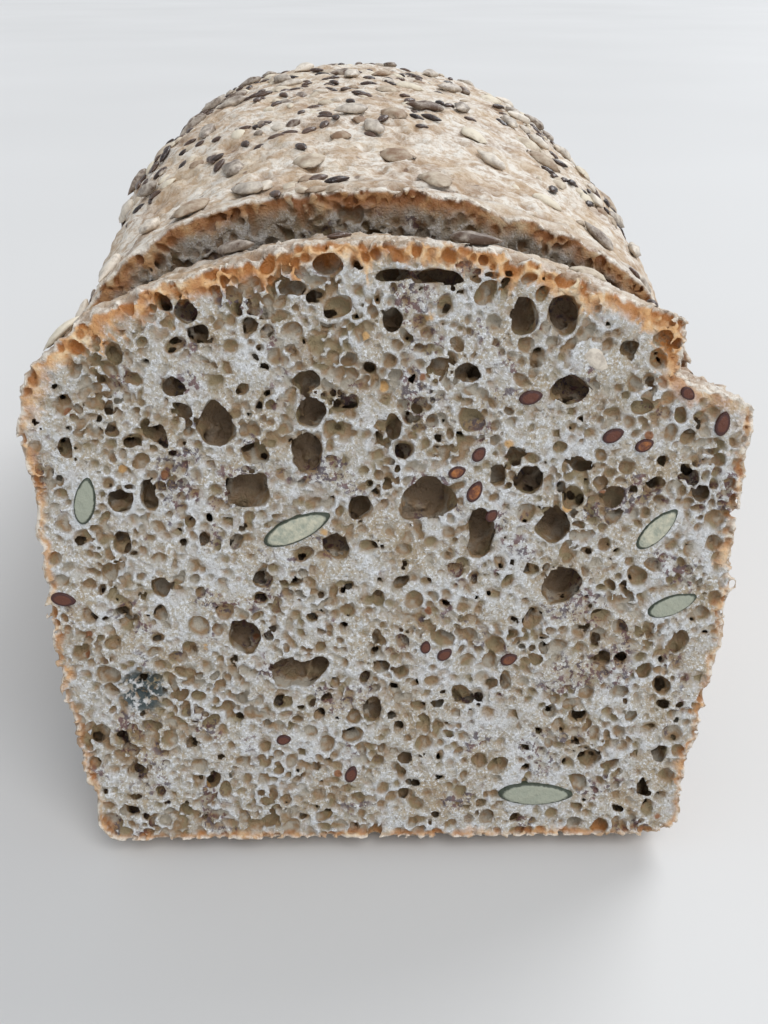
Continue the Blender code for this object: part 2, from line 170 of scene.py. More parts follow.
# Smaller flax seeds and cut pieces of them that only the looks have
SMALL_FACE_SEEDS = (
    (FLAX, 0.0108, 0.0682, 20.0, 0.62),
    (FLAX, 0.0142, 0.0711, 50.0, 0.58),
    (FLAX, 0.0460, 0.0806, -40.0, 0.55),
    (FLAX, -0.0530, 0.0470, -12.0, 0.88),
    (FLAX, 0.0094, 0.0365, 35.0, 0.60),
    (FLAX, 0.0062, 0.0379, 80.0, 0.50),
    (FLAX, -0.0180, 0.0205, 10.0, 0.55),
    (FLAX, 0.0350, 0.0740, 25.0, 0.75),
    (FLAX, 0.0165, 0.0610, 50.0, 0.50),
)

# Seeds on the slice's own crust, as in the part's source: size, x, distance behind the face, turn
SLICE_CRUST_SEEDS = (
    (SUNFLOWER, 0.0125, 0.0055, 5.0),
    (FLAKE, -0.0500, 0.0050, 20.0),
    (FLAKE, 0.0310, 0.0135, 60.0),
    (SUNFLOWER, -0.0240, 0.0140, -40.0),
    (FLAX, -0.0080, 0.0105, 30.0),
    (FLAX, 0.0420, 0.0090, 80.0),
)

# Seeds on the loaf's dome, as in the part's source: size, number, least distance apart
DOME_SEEDS = (
    (SUNFLOWER, 62, 0.0095),
    (FLAKE, 24, 0.0085),
    (FLAX, 18, 0.0070),
)
DOME_SEED_RANDOM = 41
DOME_SEED_EDGE = 0.006
DOME_SEED_LOWEST = 0.074
DOME_SEED_SHOULDER_ANGLE = 0.12
DOME_SEED_GROWTH = (0.85, 1.1)
DOME_SEED_TRIES = 4000
SLOPE_STEP = 0.0015
SLOPE_ANGLE = 0.03

# Number of points round a section: underside, corner, wall and half dome
PART_STEPS = (14, 6, 14, 30)
OUTLINE_STEPS = (60, 24, 90, 170)
CRUST_STEPS = (8, 6, 36, 100)

# Fine relief of the crust, inward, on top of the broad relief that it shares with the part
FINE_RELIEF = ((0.0036, 0.0010), (0.0015, 0.00065))
SLICE_RAGGED = ((0.0020, 0.0014), (0.0009, 0.0011))
SLICE_LIFT = 0.0013
CRATER_SIZE = 0.0050
CRATER_DEPTH = 0.0010
CRATER_FLOOR = 0.12
CRATER_RIM = 0.45
TORN_RAGGED = ((0.0030, 0.0012), (0.0010, 0.0007))
CRUST_TUCK = 0.0008

# Voxels of the crumb, how deep each pored layer reaches and how far two layers overlap
FACE_VOXEL = 0.00030
FACE_LAYER = 0.0072
BACK_VOXEL = 0.00055
CUT_VOXEL = 0.00046
CUT_LAYER = 0.0070
LAYER_OVERLAP = 0.0012
ADAPTIVITY = 1.0
GRID_MARGIN_VOXELS = 4
VDB_BAND = 3.0
FAR = 0.01
OUTLINE_TURNS = 2400
OUTLINE_LAYER = 0.0004

# Unevenness of the cut faces and of the bubbles in them
FACE_UNEVEN = ((0.0045, 0.00022), (0.0013, 0.00022))
FACE_SETBACK = 0.0003
FACE_NOISE_SEED = 90
NOISE_GAIN = 1.8
WARPS = ((0.0027, 0.00072), (0.0011, 0.00030))
WARP_MARGIN = 0.0017
RIM_ROUND = 0.00014
HOLE_CORE = 0.88
HOLE_LOBES = 5
LOBE_SHARES = (0.35, 0.6)
LOBE_SINKS = (0.2, 2.0)
LOBE_DEEP = 1.3
HOLE_WALL_BUBBLES = 16
HOLE_FLOOR_WALL = 0.0006
WALL_BUBBLE_RADII = (0.0004, 0.0013)
WALL_BUBBLE_TILTS = (0.3, 1.4)

# Bubbles strewn over a face, the largest first: radii and the most of them
BUBBLE_CLASSES = (
    (0.0013, 0.0020, 70),
    (0.0009, 0.0014, 360),
    (0.00055, 0.0009, 2600),
    (0.00033, 0.0006, 7000),
)
COARSE_BUBBLE_CLASSES = BUBBLE_CLASSES[:3]
LARGEST_BUBBLE = BUBBLE_CLASSES[0][1]
BUBBLE_SINK = (-0.35, 0.60)
BUBBLE_STRETCH = (1.0, 1.22)
BUBBLE_DEEP = 1.05
EDGE_WALL = 0.0003
THINNEST_WALL = 0.00006
MEAN_WALL = 0.00014
WALL_SPREAD = 0.00024
WALL_BREAKS = (0.0, 0.0, 0.0, 0.0003, 0.0006)
SHUFFLES = 1000
ROUGH_REACH = 0.00007
ROUGH_MEAN = 0.6
ROUGH_SIZE = 0.0007
ROUGH_SEED = 55
WALL_NOISE = (0.006, 77)
HIDDEN_BUBBLES = 2600
HIDDEN_BUBBLE_RADII = (0.0005, 0.0016)
HIDDEN_BUBBLE_SUNK = (0.0008, 0.0040)
HIDDEN_BUBBLE_EDGE = 0.0015
FRONT_BANDS = 3
FRONT_RANDOM = 3
BACK_RANDOM = 4
CUT_RANDOM = 5

# Bubbles keep clear of seeds: places along each seed and radius as a share of its width
SEED_GUARDS = (-0.6, 0.0, 0.6)
SEED_GUARD_SHARE = 0.42

# Rows of the loaf's crust: spacing along it, round its end and over its end wall
CRUST_ROW = 0.0008
END_ROWS = 42
CAP_ROWS = 26

# How far the crust's closed inner side, behind the cut layer, sinks into the loaf
CRUST_HOLLOW = 0.024

# Whole numbers that mix a lattice place into a repeatable value
HASH_AXES = (374761393, 668265263, 2246822519)
HASH_SEED = 3266489917
HASH_ROUNDS = ((15, 2246822519), (13, 3266489917))
HASH_LAST_SHIFT = 16
HASH_MASK = 0xFFFFFFFF
HASH_HALF = 2 ** 31

# Shortest normal that is still made a unit long
SHORTEST_NORMAL = 1e-20

# Small flax, chips and crumbs between the dome's seeds: size, number and shares of the size
SMALL_BITS = (
    (FLAX, 720, (0.55, 1.05)),
    (FLAKE, 520, (0.18, 0.50)),
    (SUNFLOWER, 120, (0.3, 0.65)),
)
SMALL_BIT_RANDOM = 17
SMALL_BIT_EDGE = 0.002
SMALL_BIT_ROOM = 0.0030
CLUSTER_SIZE = 0.020
CLUSTER_LIMIT = (-0.35, 0.20)
BARE_LENGTH = 0.070
BARE_LIMIT = 0.40
DOME_SEED_SINK = 0.6

# Forms of the seeds
KERNEL_RIDGES = 5
KERNEL_RIDGE = 0.16
KERNEL_TWIST = 0.5
KERNEL_WIDTH = 0.88
KERNEL_POINT = 0.75
KERNEL_BLUNT = 0.8
KERNEL_BEND = 0.25
KERNEL_BEND_RATE = 1.7
KERNEL_BEND_SPREAD = 3.1
FLAX_BLUNT = 0.55
FLAX_TAPER = (0.72, 0.56, 1.2)
FLAKE_RAGGED = 0.35
FLAKE_CURL = 0.35
SEED_TIP = 0.02
DENT_SIZE = 0.0015
CUT_SEED_PROUD = 0.00005
CUT_SEED_SIDES = 40
CUT_SEED_POINT = 0.30
CUT_SEED_RINGS = (
    (0.02, 0.0), (0.3, 0.0), (0.6, 0.0), (0.85, 0.01), (0.94, 0.04), (1.0, 0.12), (1.0, 0.4),
)

# Colours, linear
WHITE = (1.0, 1.0, 1.0)
# Painted shadow: the loaf's cut crumb is darkened as if shaded by the leaning slice
CUT_CRUMB_PAINTED_SHADOW = (0.56, 0.51, 0.46)
# Painted highlight: near-white glints on the crumb's walls
CRUMB_PAINTED_GLINT = (0.90, 0.91, 0.92)
CRUMB_PALE = (0.63, 0.635, 0.63)
CRUMB_MID = (0.51, 0.475, 0.405)
CRUMB_TAN = (0.43, 0.345, 0.235)
# Painted shade: dark specks that stand in for the shade inside tiny pores
CRUMB_PAINTED_SHADE = (0.20, 0.155, 0.115)
# Painted shade: the bubbles' tones, darker and warmer than the walls, stand in for the shade deep in
# the crumb
PORE_SHADE_GREY = (0.43, 0.38, 0.30)
PORE_SHADE_OLIVE = (0.28, 0.215, 0.115)
PORE_SHADE_BROWN = (0.31, 0.195, 0.10)
PORE_DEEP_SHADE = (0.23, 0.155, 0.09)
STAIN_TEAL = (0.050, 0.068, 0.068)
# Painted highlight: pale cream spots along the rim of the cut
RIM_HIGHLIGHT_CREAM = (0.90, 0.83, 0.72)
BAND_CREAM = (0.92, 0.74, 0.49)
BAND_ORANGE = (0.80, 0.46, 0.20)
BAND_BROWN = (0.56, 0.26, 0.095)
# Painted shade: deep brown for the bubbles inside the baked zone
BAND_PORE_SHADE = (0.42, 0.16, 0.035)
CRUST_BROWN = (0.27, 0.15, 0.07)
CRUST_TAN = (0.50, 0.34, 0.19)
CRUST_PALE = (0.64, 0.51, 0.35)
CRUST_SHADE = (0.78, 0.70, 0.62)
FLOUR_COLOUR = (0.76, 0.70, 0.61)
BRAN_BROWN = (0.14, 0.075, 0.045)
BRAN_RED = (0.13, 0.050, 0.050)
BRAN_PURPLE = (0.085, 0.060, 0.075)
SPECK_RED = (0.28, 0.12, 0.05)
SPECK_AMBER = (0.62, 0.37, 0.15)
KERNEL_LIGHT = (0.72, 0.64, 0.53)
KERNEL_DARK = (0.10, 0.055, 0.032)
FLAX_LIGHT = (0.105, 0.058, 0.036)
FLAX_DARK = (0.024, 0.014, 0.011)
FLAX_AMBER = (0.42, 0.15, 0.035)
FLAX_RED = (0.12, 0.034, 0.016)
FLAX_SKIN = (0.055, 0.014, 0.010)
FLAKE_LIGHT = (0.72, 0.64, 0.50)
FLAKE_DARK = (0.25, 0.15, 0.085)
PUMPKIN_PALE = (0.60, 0.57, 0.43)
PUMPKIN_SHADE = (0.34, 0.36, 0.28)
PUMPKIN_SKIN = (0.045, 0.056, 0.035)
FLOOR_PALE = (0.66, 0.65, 0.63)
FLOOR_SHADE = (0.62, 0.61, 0.59)

# Tones along a noise: place and colour
CRUST_RAMP = ((0.30, CRUST_BROWN), (0.48, CRUST_TAN), (0.62, CRUST_PALE), (0.80, CRUST_TAN))
WALL_RAMP = ((0.40, CRUMB_TAN), (0.48, CRUMB_MID), (0.56, CRUMB_PALE))
# The bubbles' tones below are painted shade
PORE_SHADE_RAMP = ((0.38, PORE_SHADE_OLIVE), (0.50, PORE_SHADE_BROWN), (0.62, PORE_SHADE_GREY))
BAND_RAMP = ((0.38, BAND_BROWN), (0.50, BAND_ORANGE), (0.64, BAND_CREAM))
BRAN_RAMP = ((0.45, BRAN_RED), (0.55, BRAN_PURPLE))
FLOOR_RAMP = ((0.30, FLOOR_SHADE), (0.70, FLOOR_PALE))
SEED_PLACES = (0.37, 0.80)
CUT_SEED_PLACES = (0.36, 0.62)

# Noise of the materials: size, detail, roughness and shift
BLOTCHES = (0.014, 4.0, 0.60)
FINE_CRUST = (0.0016, 4.0, 0.65, (0.3, 0.1, 0.0))
CRUST_PITS = (0.0007, 3.0, 0.60)
FLOUR_PATCHES = (0.009, 5.0, 0.62, (0.0, 0.7, 0.2))
FINE_CRUMB = (0.0009, 4.0, 0.65)
CRUMB_TONES = (0.008, 4.0, 0.60)
CRUMB_GRIT = (0.00035, 2.0, 0.60)
TINY_PORE_SHADE = (0.00055, 3.0, 0.70, (0.5, 0.0, 0.0))
# Noise of the painted glints on the crumb's walls
PAINTED_GLINTS = (0.00045, 3.0, 0.70)
PORE_SHADE_TONES = (0.0032, 2.0, 0.55)
BRAN_CLUSTERS = (0.0085, 3.0, 0.60, (0.0, 0.0, 0.9))
BRAN_SHREDS = (0.0011, 3.0, 0.65, (0.7, 0.0, 0.0))
BRAN_TONES = (0.0022, 2.0, 0.55)
BAND_WAVES = (0.005, 3.0, 0.60)
BAND_TONES = (0.0042, 4.0, 0.60, (0.2, 0.0, 0.4))
STAIN_SPOTS = (0.0013, 3.0, 0.60)
RIM_HIGHLIGHT_SPOTS = (0.0014, 3.0, 0.60)
CUT_SEED_MOTTLE = (0.0012, 4.0, 0.65)
SEED_MOTTLE = (3.0, 0.60)
FLOOR_TONES = (0.5, 2.0, 0.55)
NOISE_MEAN = 0.5

# Limits in the noise between which a colour comes in, and its shares there
SHADE_LIMITS = (0.35, 0.70)
FLOUR_PATCH_LIMITS = (0.38, 0.60, 0.25, 1.0)
FLOUR_DUST_LIMITS = (0.36, 0.58, 0.30, 1.0)
TINY_PORE_SHADE_LIMITS = (0.30, 0.46, 0.75, 0.0)
PAINTED_GLINT_LIMITS = (0.50, 0.66, 0.0, 0.8)
BRAN_LIMITS = (0.56, 0.62)
SHRED_LIMITS = (0.50, 0.56, 0.0, 0.85)
STAIN_LIMITS = (0.44, 0.56)
RIM_HIGHLIGHT_LIMITS = (0.42, 0.56, 0.1, 0.8)

# Limits in mm, of heights, distances from the crust and depths, and the shares there
FLOUR_HEIGHTS = (66, 84)
CRUST_SUNKEN = (1.1, 2.2, 0.0, 0.75)
# Depths behind the face over which the bubbles' painted shade comes in and then deepens
PORE_SHADE_DEPTHS = (0.3, 1.2)
DEEP_PORE_SHADE_DEPTHS = (1.8, 6.0)
TOP_BAND_HEIGHTS = (72, 90)
TOP_BAND = (1.4, 4.2, 1.0, 0.0)
SIDE_BAND = (0.4, 2.0, 0.85, 0.0)
CRUST_EDGE = (0.15, 0.7, 1.0, 0.0)
RIM_HIGHLIGHT_INSET = (0.3, 0.9, 1.0, 0.0)
RIM_HIGHLIGHT_DEPTH = (0.4, 1.6, 1.0, 0.0)
BAND_WAVE_REACH = 5.0
CRUMB_WAVE_REACH = 0.5

# Roughness between two limits in the noise, and reaches of the bumps
CRUST_ROUGHNESS = (0.3, 0.7, 0.78, 0.62)
CRUMB_ROUGHNESS = (0.35, 0.65, 0.42, 0.62)
CUT_SEED_ROUGHNESS = (0.3, 0.7, 0.34, 0.5)
FLOOR_ROUGHNESS = 0.6
CRUST_BUMP = 0.0006
PIT_BUMP = 0.00025
CRUMB_BUMP = 0.0004
GRIT_BUMP = 0.00025
SEED_BUMP = 0.0003
CUT_SEED_BUMP = 0.0005

# Shares of two noises in one tone
WALL_TONE_SHARE = 0.5
SEED_DRAW_SHARE = 0.45
SEED_MOTTLE_SHARE = 0.8
CUT_SEED_EDGE_SHARE = 0.35

# Flecks and specks: cell size, speck radius in cells, rarity and the most that shows
CRUST_FLECKS = (0.0042, 0.16, 0.72, 0.7)
CRUMB_SPECKS = (
    ((0.0070, 0.13, 0.70, 1.0), SPECK_RED),
    ((0.0100, 0.11, 0.62, 1.0), SPECK_AMBER),
)
SPECK_FADE = 0.02
SPECK_CORE = 0.6

# Strewn seeds: slot, size, mesh rows and sides, dents, tones, mottle size and roughness
KERNEL_TONES = (KERNEL_DARK, KERNEL_LIGHT)
FLAX_TONES = (FLAX_DARK, FLAX_LIGHT)
FLAKE_TONES = (FLAKE_DARK, FLAKE_LIGHT)
KERNELS = ("sunflower_seed", SUNFLOWER, (12, 12), 0.0010, KERNEL_TONES, 0.0016, (0.44, 0.6))
FLAX_SEEDS = ("flax_seed", FLAX, (7, 8), 0.0003, FLAX_TONES, 0.0012, (0.24, 0.4))
FLAKES = ("grain_flake", FLAKE, (7, 11), 0.0003, FLAKE_TONES, 0.0020, (0.64, 0.8))
SEED_ROUGHNESS_LIMITS = (0.3, 0.7)

# Cut seeds: material, slot, size, tones, skin, its limits from the middle out, draws that are pale
CUT_SEEDS = (
    (
        "pumpkin_seed", "pumpkin_seed", PUMPKIN,
        (PUMPKIN_SHADE, PUMPKIN_PALE), PUMPKIN_SKIN, (0.98, 1.12), (0.0, 0.9),
    ),
    (
        "cut_flax_seed", "flax_seed", FLAX,
        (FLAX_RED, FLAX_AMBER), FLAX_SKIN, (0.76, 0.98), (0.55, 0.75),
    ),
)

# A patch of the face stained by a crushed seed: its middle on the face and its reach
STAIN_PLACE = (-0.0415, 0.0, 0.0300)
STAIN_REACH = 0.0055

# Light: name, direction it comes from, width in degrees, strength and colour
WORLD_COLOUR = (0.86, 0.92, 1.0)
WORLD_STRENGTH = 0.55
LIGHTS = (
    ("window", (0.50, 0.60, 0.70), 30.0, 1.5, (0.95, 0.97, 1.0)),
    ("overhead", (0.30, -0.55, 0.80), 40.0, 1.6, (0.98, 0.98, 1.0)),
)
FLOOR_SIZE = 60.0

# Camera at the photo's viewing angle
CLIP_START = 0.01
FOCAL_PIXELS = 1000
LONG_SIDE_PIXELS = 1024
SENSOR = 36.0
CAMERA_PITCH = math.radians(28.81)
CAMERA_YAW = math.radians(0.75)
CAMERA_PLACE = (-0.0025, FRONT_Y - 0.1281, 0.1412)


def smooth(value, low, high):
    """Smooth step from 0 at low to 1 at high."""
    share = min(max((value - low) / (high - low), 0.0), 1.0)
    return share * share * (3 - 2 * share)


def dome_spot(half_width, shoulder, crest, skew, power, angle):
    """Point of the dome as (x, z); the angle runs from 0 at the right shoulder to pi at the left."""
    cosine = math.cos(angle)
    x = math.copysign(half_width * abs(cosine) ** (2 / power), cosine) - skew * math.sin(angle)
    return x, shoulder + (crest - shoulder) * math.sin(angle)


def section(half_width, shoulder, crest, skew, power, base, steps):
    """Outline across the bread as (x, z), anticlockwise from the middle of its underside."""
    base_steps, corner_steps, wall_steps, dome_steps = steps
    foot = half_width * FOOT_SHARE
    corner_x = foot - FOOT_RADIUS
    corner_z = base + FOOT_RADIUS
    right = [(corner_x * k / base_steps, base) for k in range(base_steps)]
    for k in range(corner_steps):
        angle = math.pi / 2 * k / corner_steps
        x = corner_x + FOOT_RADIUS * math.sin(angle)
        right.append((x, corner_z - FOOT_RADIUS * math.cos(angle)))
    for k in range(wall_steps):
        share = k / wall_steps
        wall_x = foot + (half_width - foot) * share ** WALL_POWER
        right.append((wall_x, corner_z + (shoulder - corner_z) * share))
    left = [(-x, z) for x, z in reversed(right[1:])]
    angles = [math.pi * k / (2 * dome_steps) for k in range(2 * dome_steps + 1)]
    dome = [dome_spot(half_width, shoulder, crest, skew, power, angle) for angle in angles]
    return right + dome + left


def broad_relief(point):
    """The relief that the part has: broad swells and small crags, inward from the section."""
    swell = 0.5 + 0.5 * noise.noise(point / SWELL_SIZE)
    crag = 0.5 + 0.5 * noise.noise(point / CRAG_SIZE)
    return (SWELL_RELIEF * swell + CRAG_RELIEF * crag) * smooth(point.z, 0.0, FLAT_FOOT)


def fine_relief(point):
    """The finer crags and small craters of baked dough, inward too."""
    depth = 0.0
    for size, reach in FINE_RELIEF:
        depth += reach * (0.5 + 0.5 * noise.noise(point / size))
    nearest = noise.voronoi(point / CRATER_SIZE)[0][0]
    depth += CRATER_DEPTH * (1 - smooth(nearest, CRATER_FLOOR, CRATER_RIM))
    return depth * smooth(point.z, 0.0, FLAT_FOOT)


def sink_relief(point, core, fine_depth):
    """The point moved towards the core by the broad relief and a depth of fine relief."""
    outward = (point - core).normalized()
    return point - outward * (broad_relief(point) + fine_depth)


def tear_shoulder(ring):
    """Moves the ring's points at the right shoulder onto the torn edge."""
    start, corner, end = (Vector((x, ring[0].y, z)) for x, z in TORN_SHOULDER)
    torn = [spot for spot in ring if spot.x > start.x and spot.z > end.z]
    first = (end - corner).length
    total = first + (corner - start).length
    for order, spot in enumerate(torn):
        along = total * order / (len(torn) - 1)
        if along < first:
            target = end.lerp(corner, along / first)
        else:
            target = corner.lerp(start, (along - first) / (total - first))
        ragged = sum(reach * noise.noise(spot / size) for size, reach in TORN_RAGGED)
        spot.xz = target.xz - Vector((ragged, ragged))
    return ring


def slice_ring(depth, steps, fine=1.0):
    """The slice's outline at a depth behind its face, in its own frame, and its fine relief."""
    core = Vector((0.0, depth, CORE_HEIGHT))
    points = [Vector((x, depth, z)) for x, z in section(*SLICE_PROFILE, 0.0, steps)]
    spots, depths = [], []
    for point in points:
        ragged = sum(reach * abs(noise.noise(point / size)) for size, reach in SLICE_RAGGED)
        lifted = (ragged - SLICE_LIFT) * smooth(point.z, 0.0, FLAT_FOOT)
        sunk = fine_relief(point) + lifted
        spots.append(sink_relief(point, core, fine * sunk))
        depths.append(sunk + SLICE_LIFT)
    return tear_shoulder(spots), depths


def slice_outline(depth):
    """The slice's outline for its crumb."""
    return slice_ring(depth, OUTLINE_STEPS)


def slice_matrix():
    """Places the slice's own frame, whose Y is the depth behind the face, in the part's frame."""
    back_edge = Matrix.Translation((0.0, SLICE_FOOT_Y, 0.0))
    face = Matrix.Translation((0.0, -SLICE_THICKNESS, 0.0))
    return back_edge @ Matrix.Rotation(-SLICE_LEAN, 4, "X") @ face


def loaf_sizes(y):
    """Half width, shoulder, crest, skew, dome power and underside height of the loaf at y."""
    swelling = math.sin(math.pi / 2 * min((y - CUT_Y) / SWELL_LENGTH, 1.0)) ** 2
    sizes = [low + (high - low) * swelling for low, high in zip(CUT_PROFILE, MIDDLE_PROFILE)]
    half_width, shoulder, crest, skew, power = sizes
    slope = max((y - (END_Y - END_SLOPE_LENGTH)) / END_SLOPE_LENGTH, 0.0)
    crest -= END_SLOPE_DROP * slope ** 2
    into_end = max((y - (END_Y - END_DEPTH)) / END_DEPTH, 0.0)
    inset = 1 - math.sqrt(max(1 - into_end ** 2, 0.0))
    half_width -= END_SIDE_INSET * inset
    crest -= END_TOP_INSET * inset
    shoulder -= END_TOP_INSET / 2 * inset
    return half_width, shoulder, crest, skew, power, END_FOOT_RISE * inset


def loaf_core(y):
    """The point inside the loaf that the relief at a place y is measured from."""
    return Vector((0.0, min(y, END_Y - 2 * END_DEPTH), CORE_HEIGHT))


def sink_ring(points, tuck=0.0):
    """Points of the loaf's section sunk by their relief, and how deep the fine relief is at each."""
    depths = [fine_relief(point) + tuck for point in points]
    spots = [sink_relief(point, loaf_core(point.y), depth) for point, depth in zip(points, depths)]
    return spots, depths


def loaf_ring(y, steps, tuck=0.0):
    """One ring of the loaf's crust at a place y."""
    return sink_ring([Vector((x, y, z)) for x, z in section(*loaf_sizes(y), steps)], tuck)


def cap_ring(share, steps):
    """A ring of the end wall, drawn in towards its middle."""
    points = section(*loaf_sizes(END_Y), steps)
    heights = [z for x, z in points]
    middle = (min(heights) + max(heights)) / 2
    return sink_ring([Vector((x * share, END_Y, middle + (z - middle) * share)) for x, z in points])


def cut_outline(depth):
    """The loaf's outline for the crumb at its cut face, with Y as the depth behind that face."""
    return loaf_ring(CUT_Y + max(depth, 0.0), OUTLINE_STEPS)


def lattice_values(columns, layers, rows, seed):
    """Repeatable values from -1 to 1 at whole places of a lattice."""
    mixed = np.uint32(seed * HASH_SEED & HASH_MASK)
    for places, factor in zip(np.ix_(columns, layers, rows), HASH_AXES):
        mixed = mixed + places.astype(np.int64).astype(np.uint32) * np.uint32(factor)
    for shift, factor in HASH_ROUNDS:
        mixed = (mixed ^ (mixed >> np.uint32(shift))) * np.uint32(factor)
    mixed = mixed ^ (mixed >> np.uint32(HASH_LAST_SHIFT))
    return mixed.astype(np.float32) / np.float32(HASH_HALF) - 1


def spline_weights(places, size):
    """Cubic B-spline weights from lattice columns a size apart to places, and the columns."""
    base = np.floor(places / size).astype(int)
    t = places / size - base
    first = base.min() - 1
    weights = np.zeros((len(places), base.max() + 3 - first), np.float32)
    parts = ((1 - t) ** 3, 3 * t ** 3 - 6 * t ** 2 + 4, -3 * t ** 3 + 3 * t ** 2 + 3 * t + 1, t ** 3)
    for k, part in enumerate(parts):
        weights[np.arange(len(places)), base - first - 1 + k] = part / 6
    return weights, np.arange(first, base.max() + 3)


def grid_noise(axes, size, seed):
    """Smooth noise on a grid, the same at the same place for any grid."""
    spread = [spline_weights(axis, size) for axis in axes]
    values = lattice_values(*(columns for _, columns in spread), seed)
    for k, (weights, _) in enumerate(spread):
        values = np.moveaxis(np.tensordot(weights, values, (1, k)), 0, k)
    return np.ascontiguousarray(values) * NOISE_GAIN


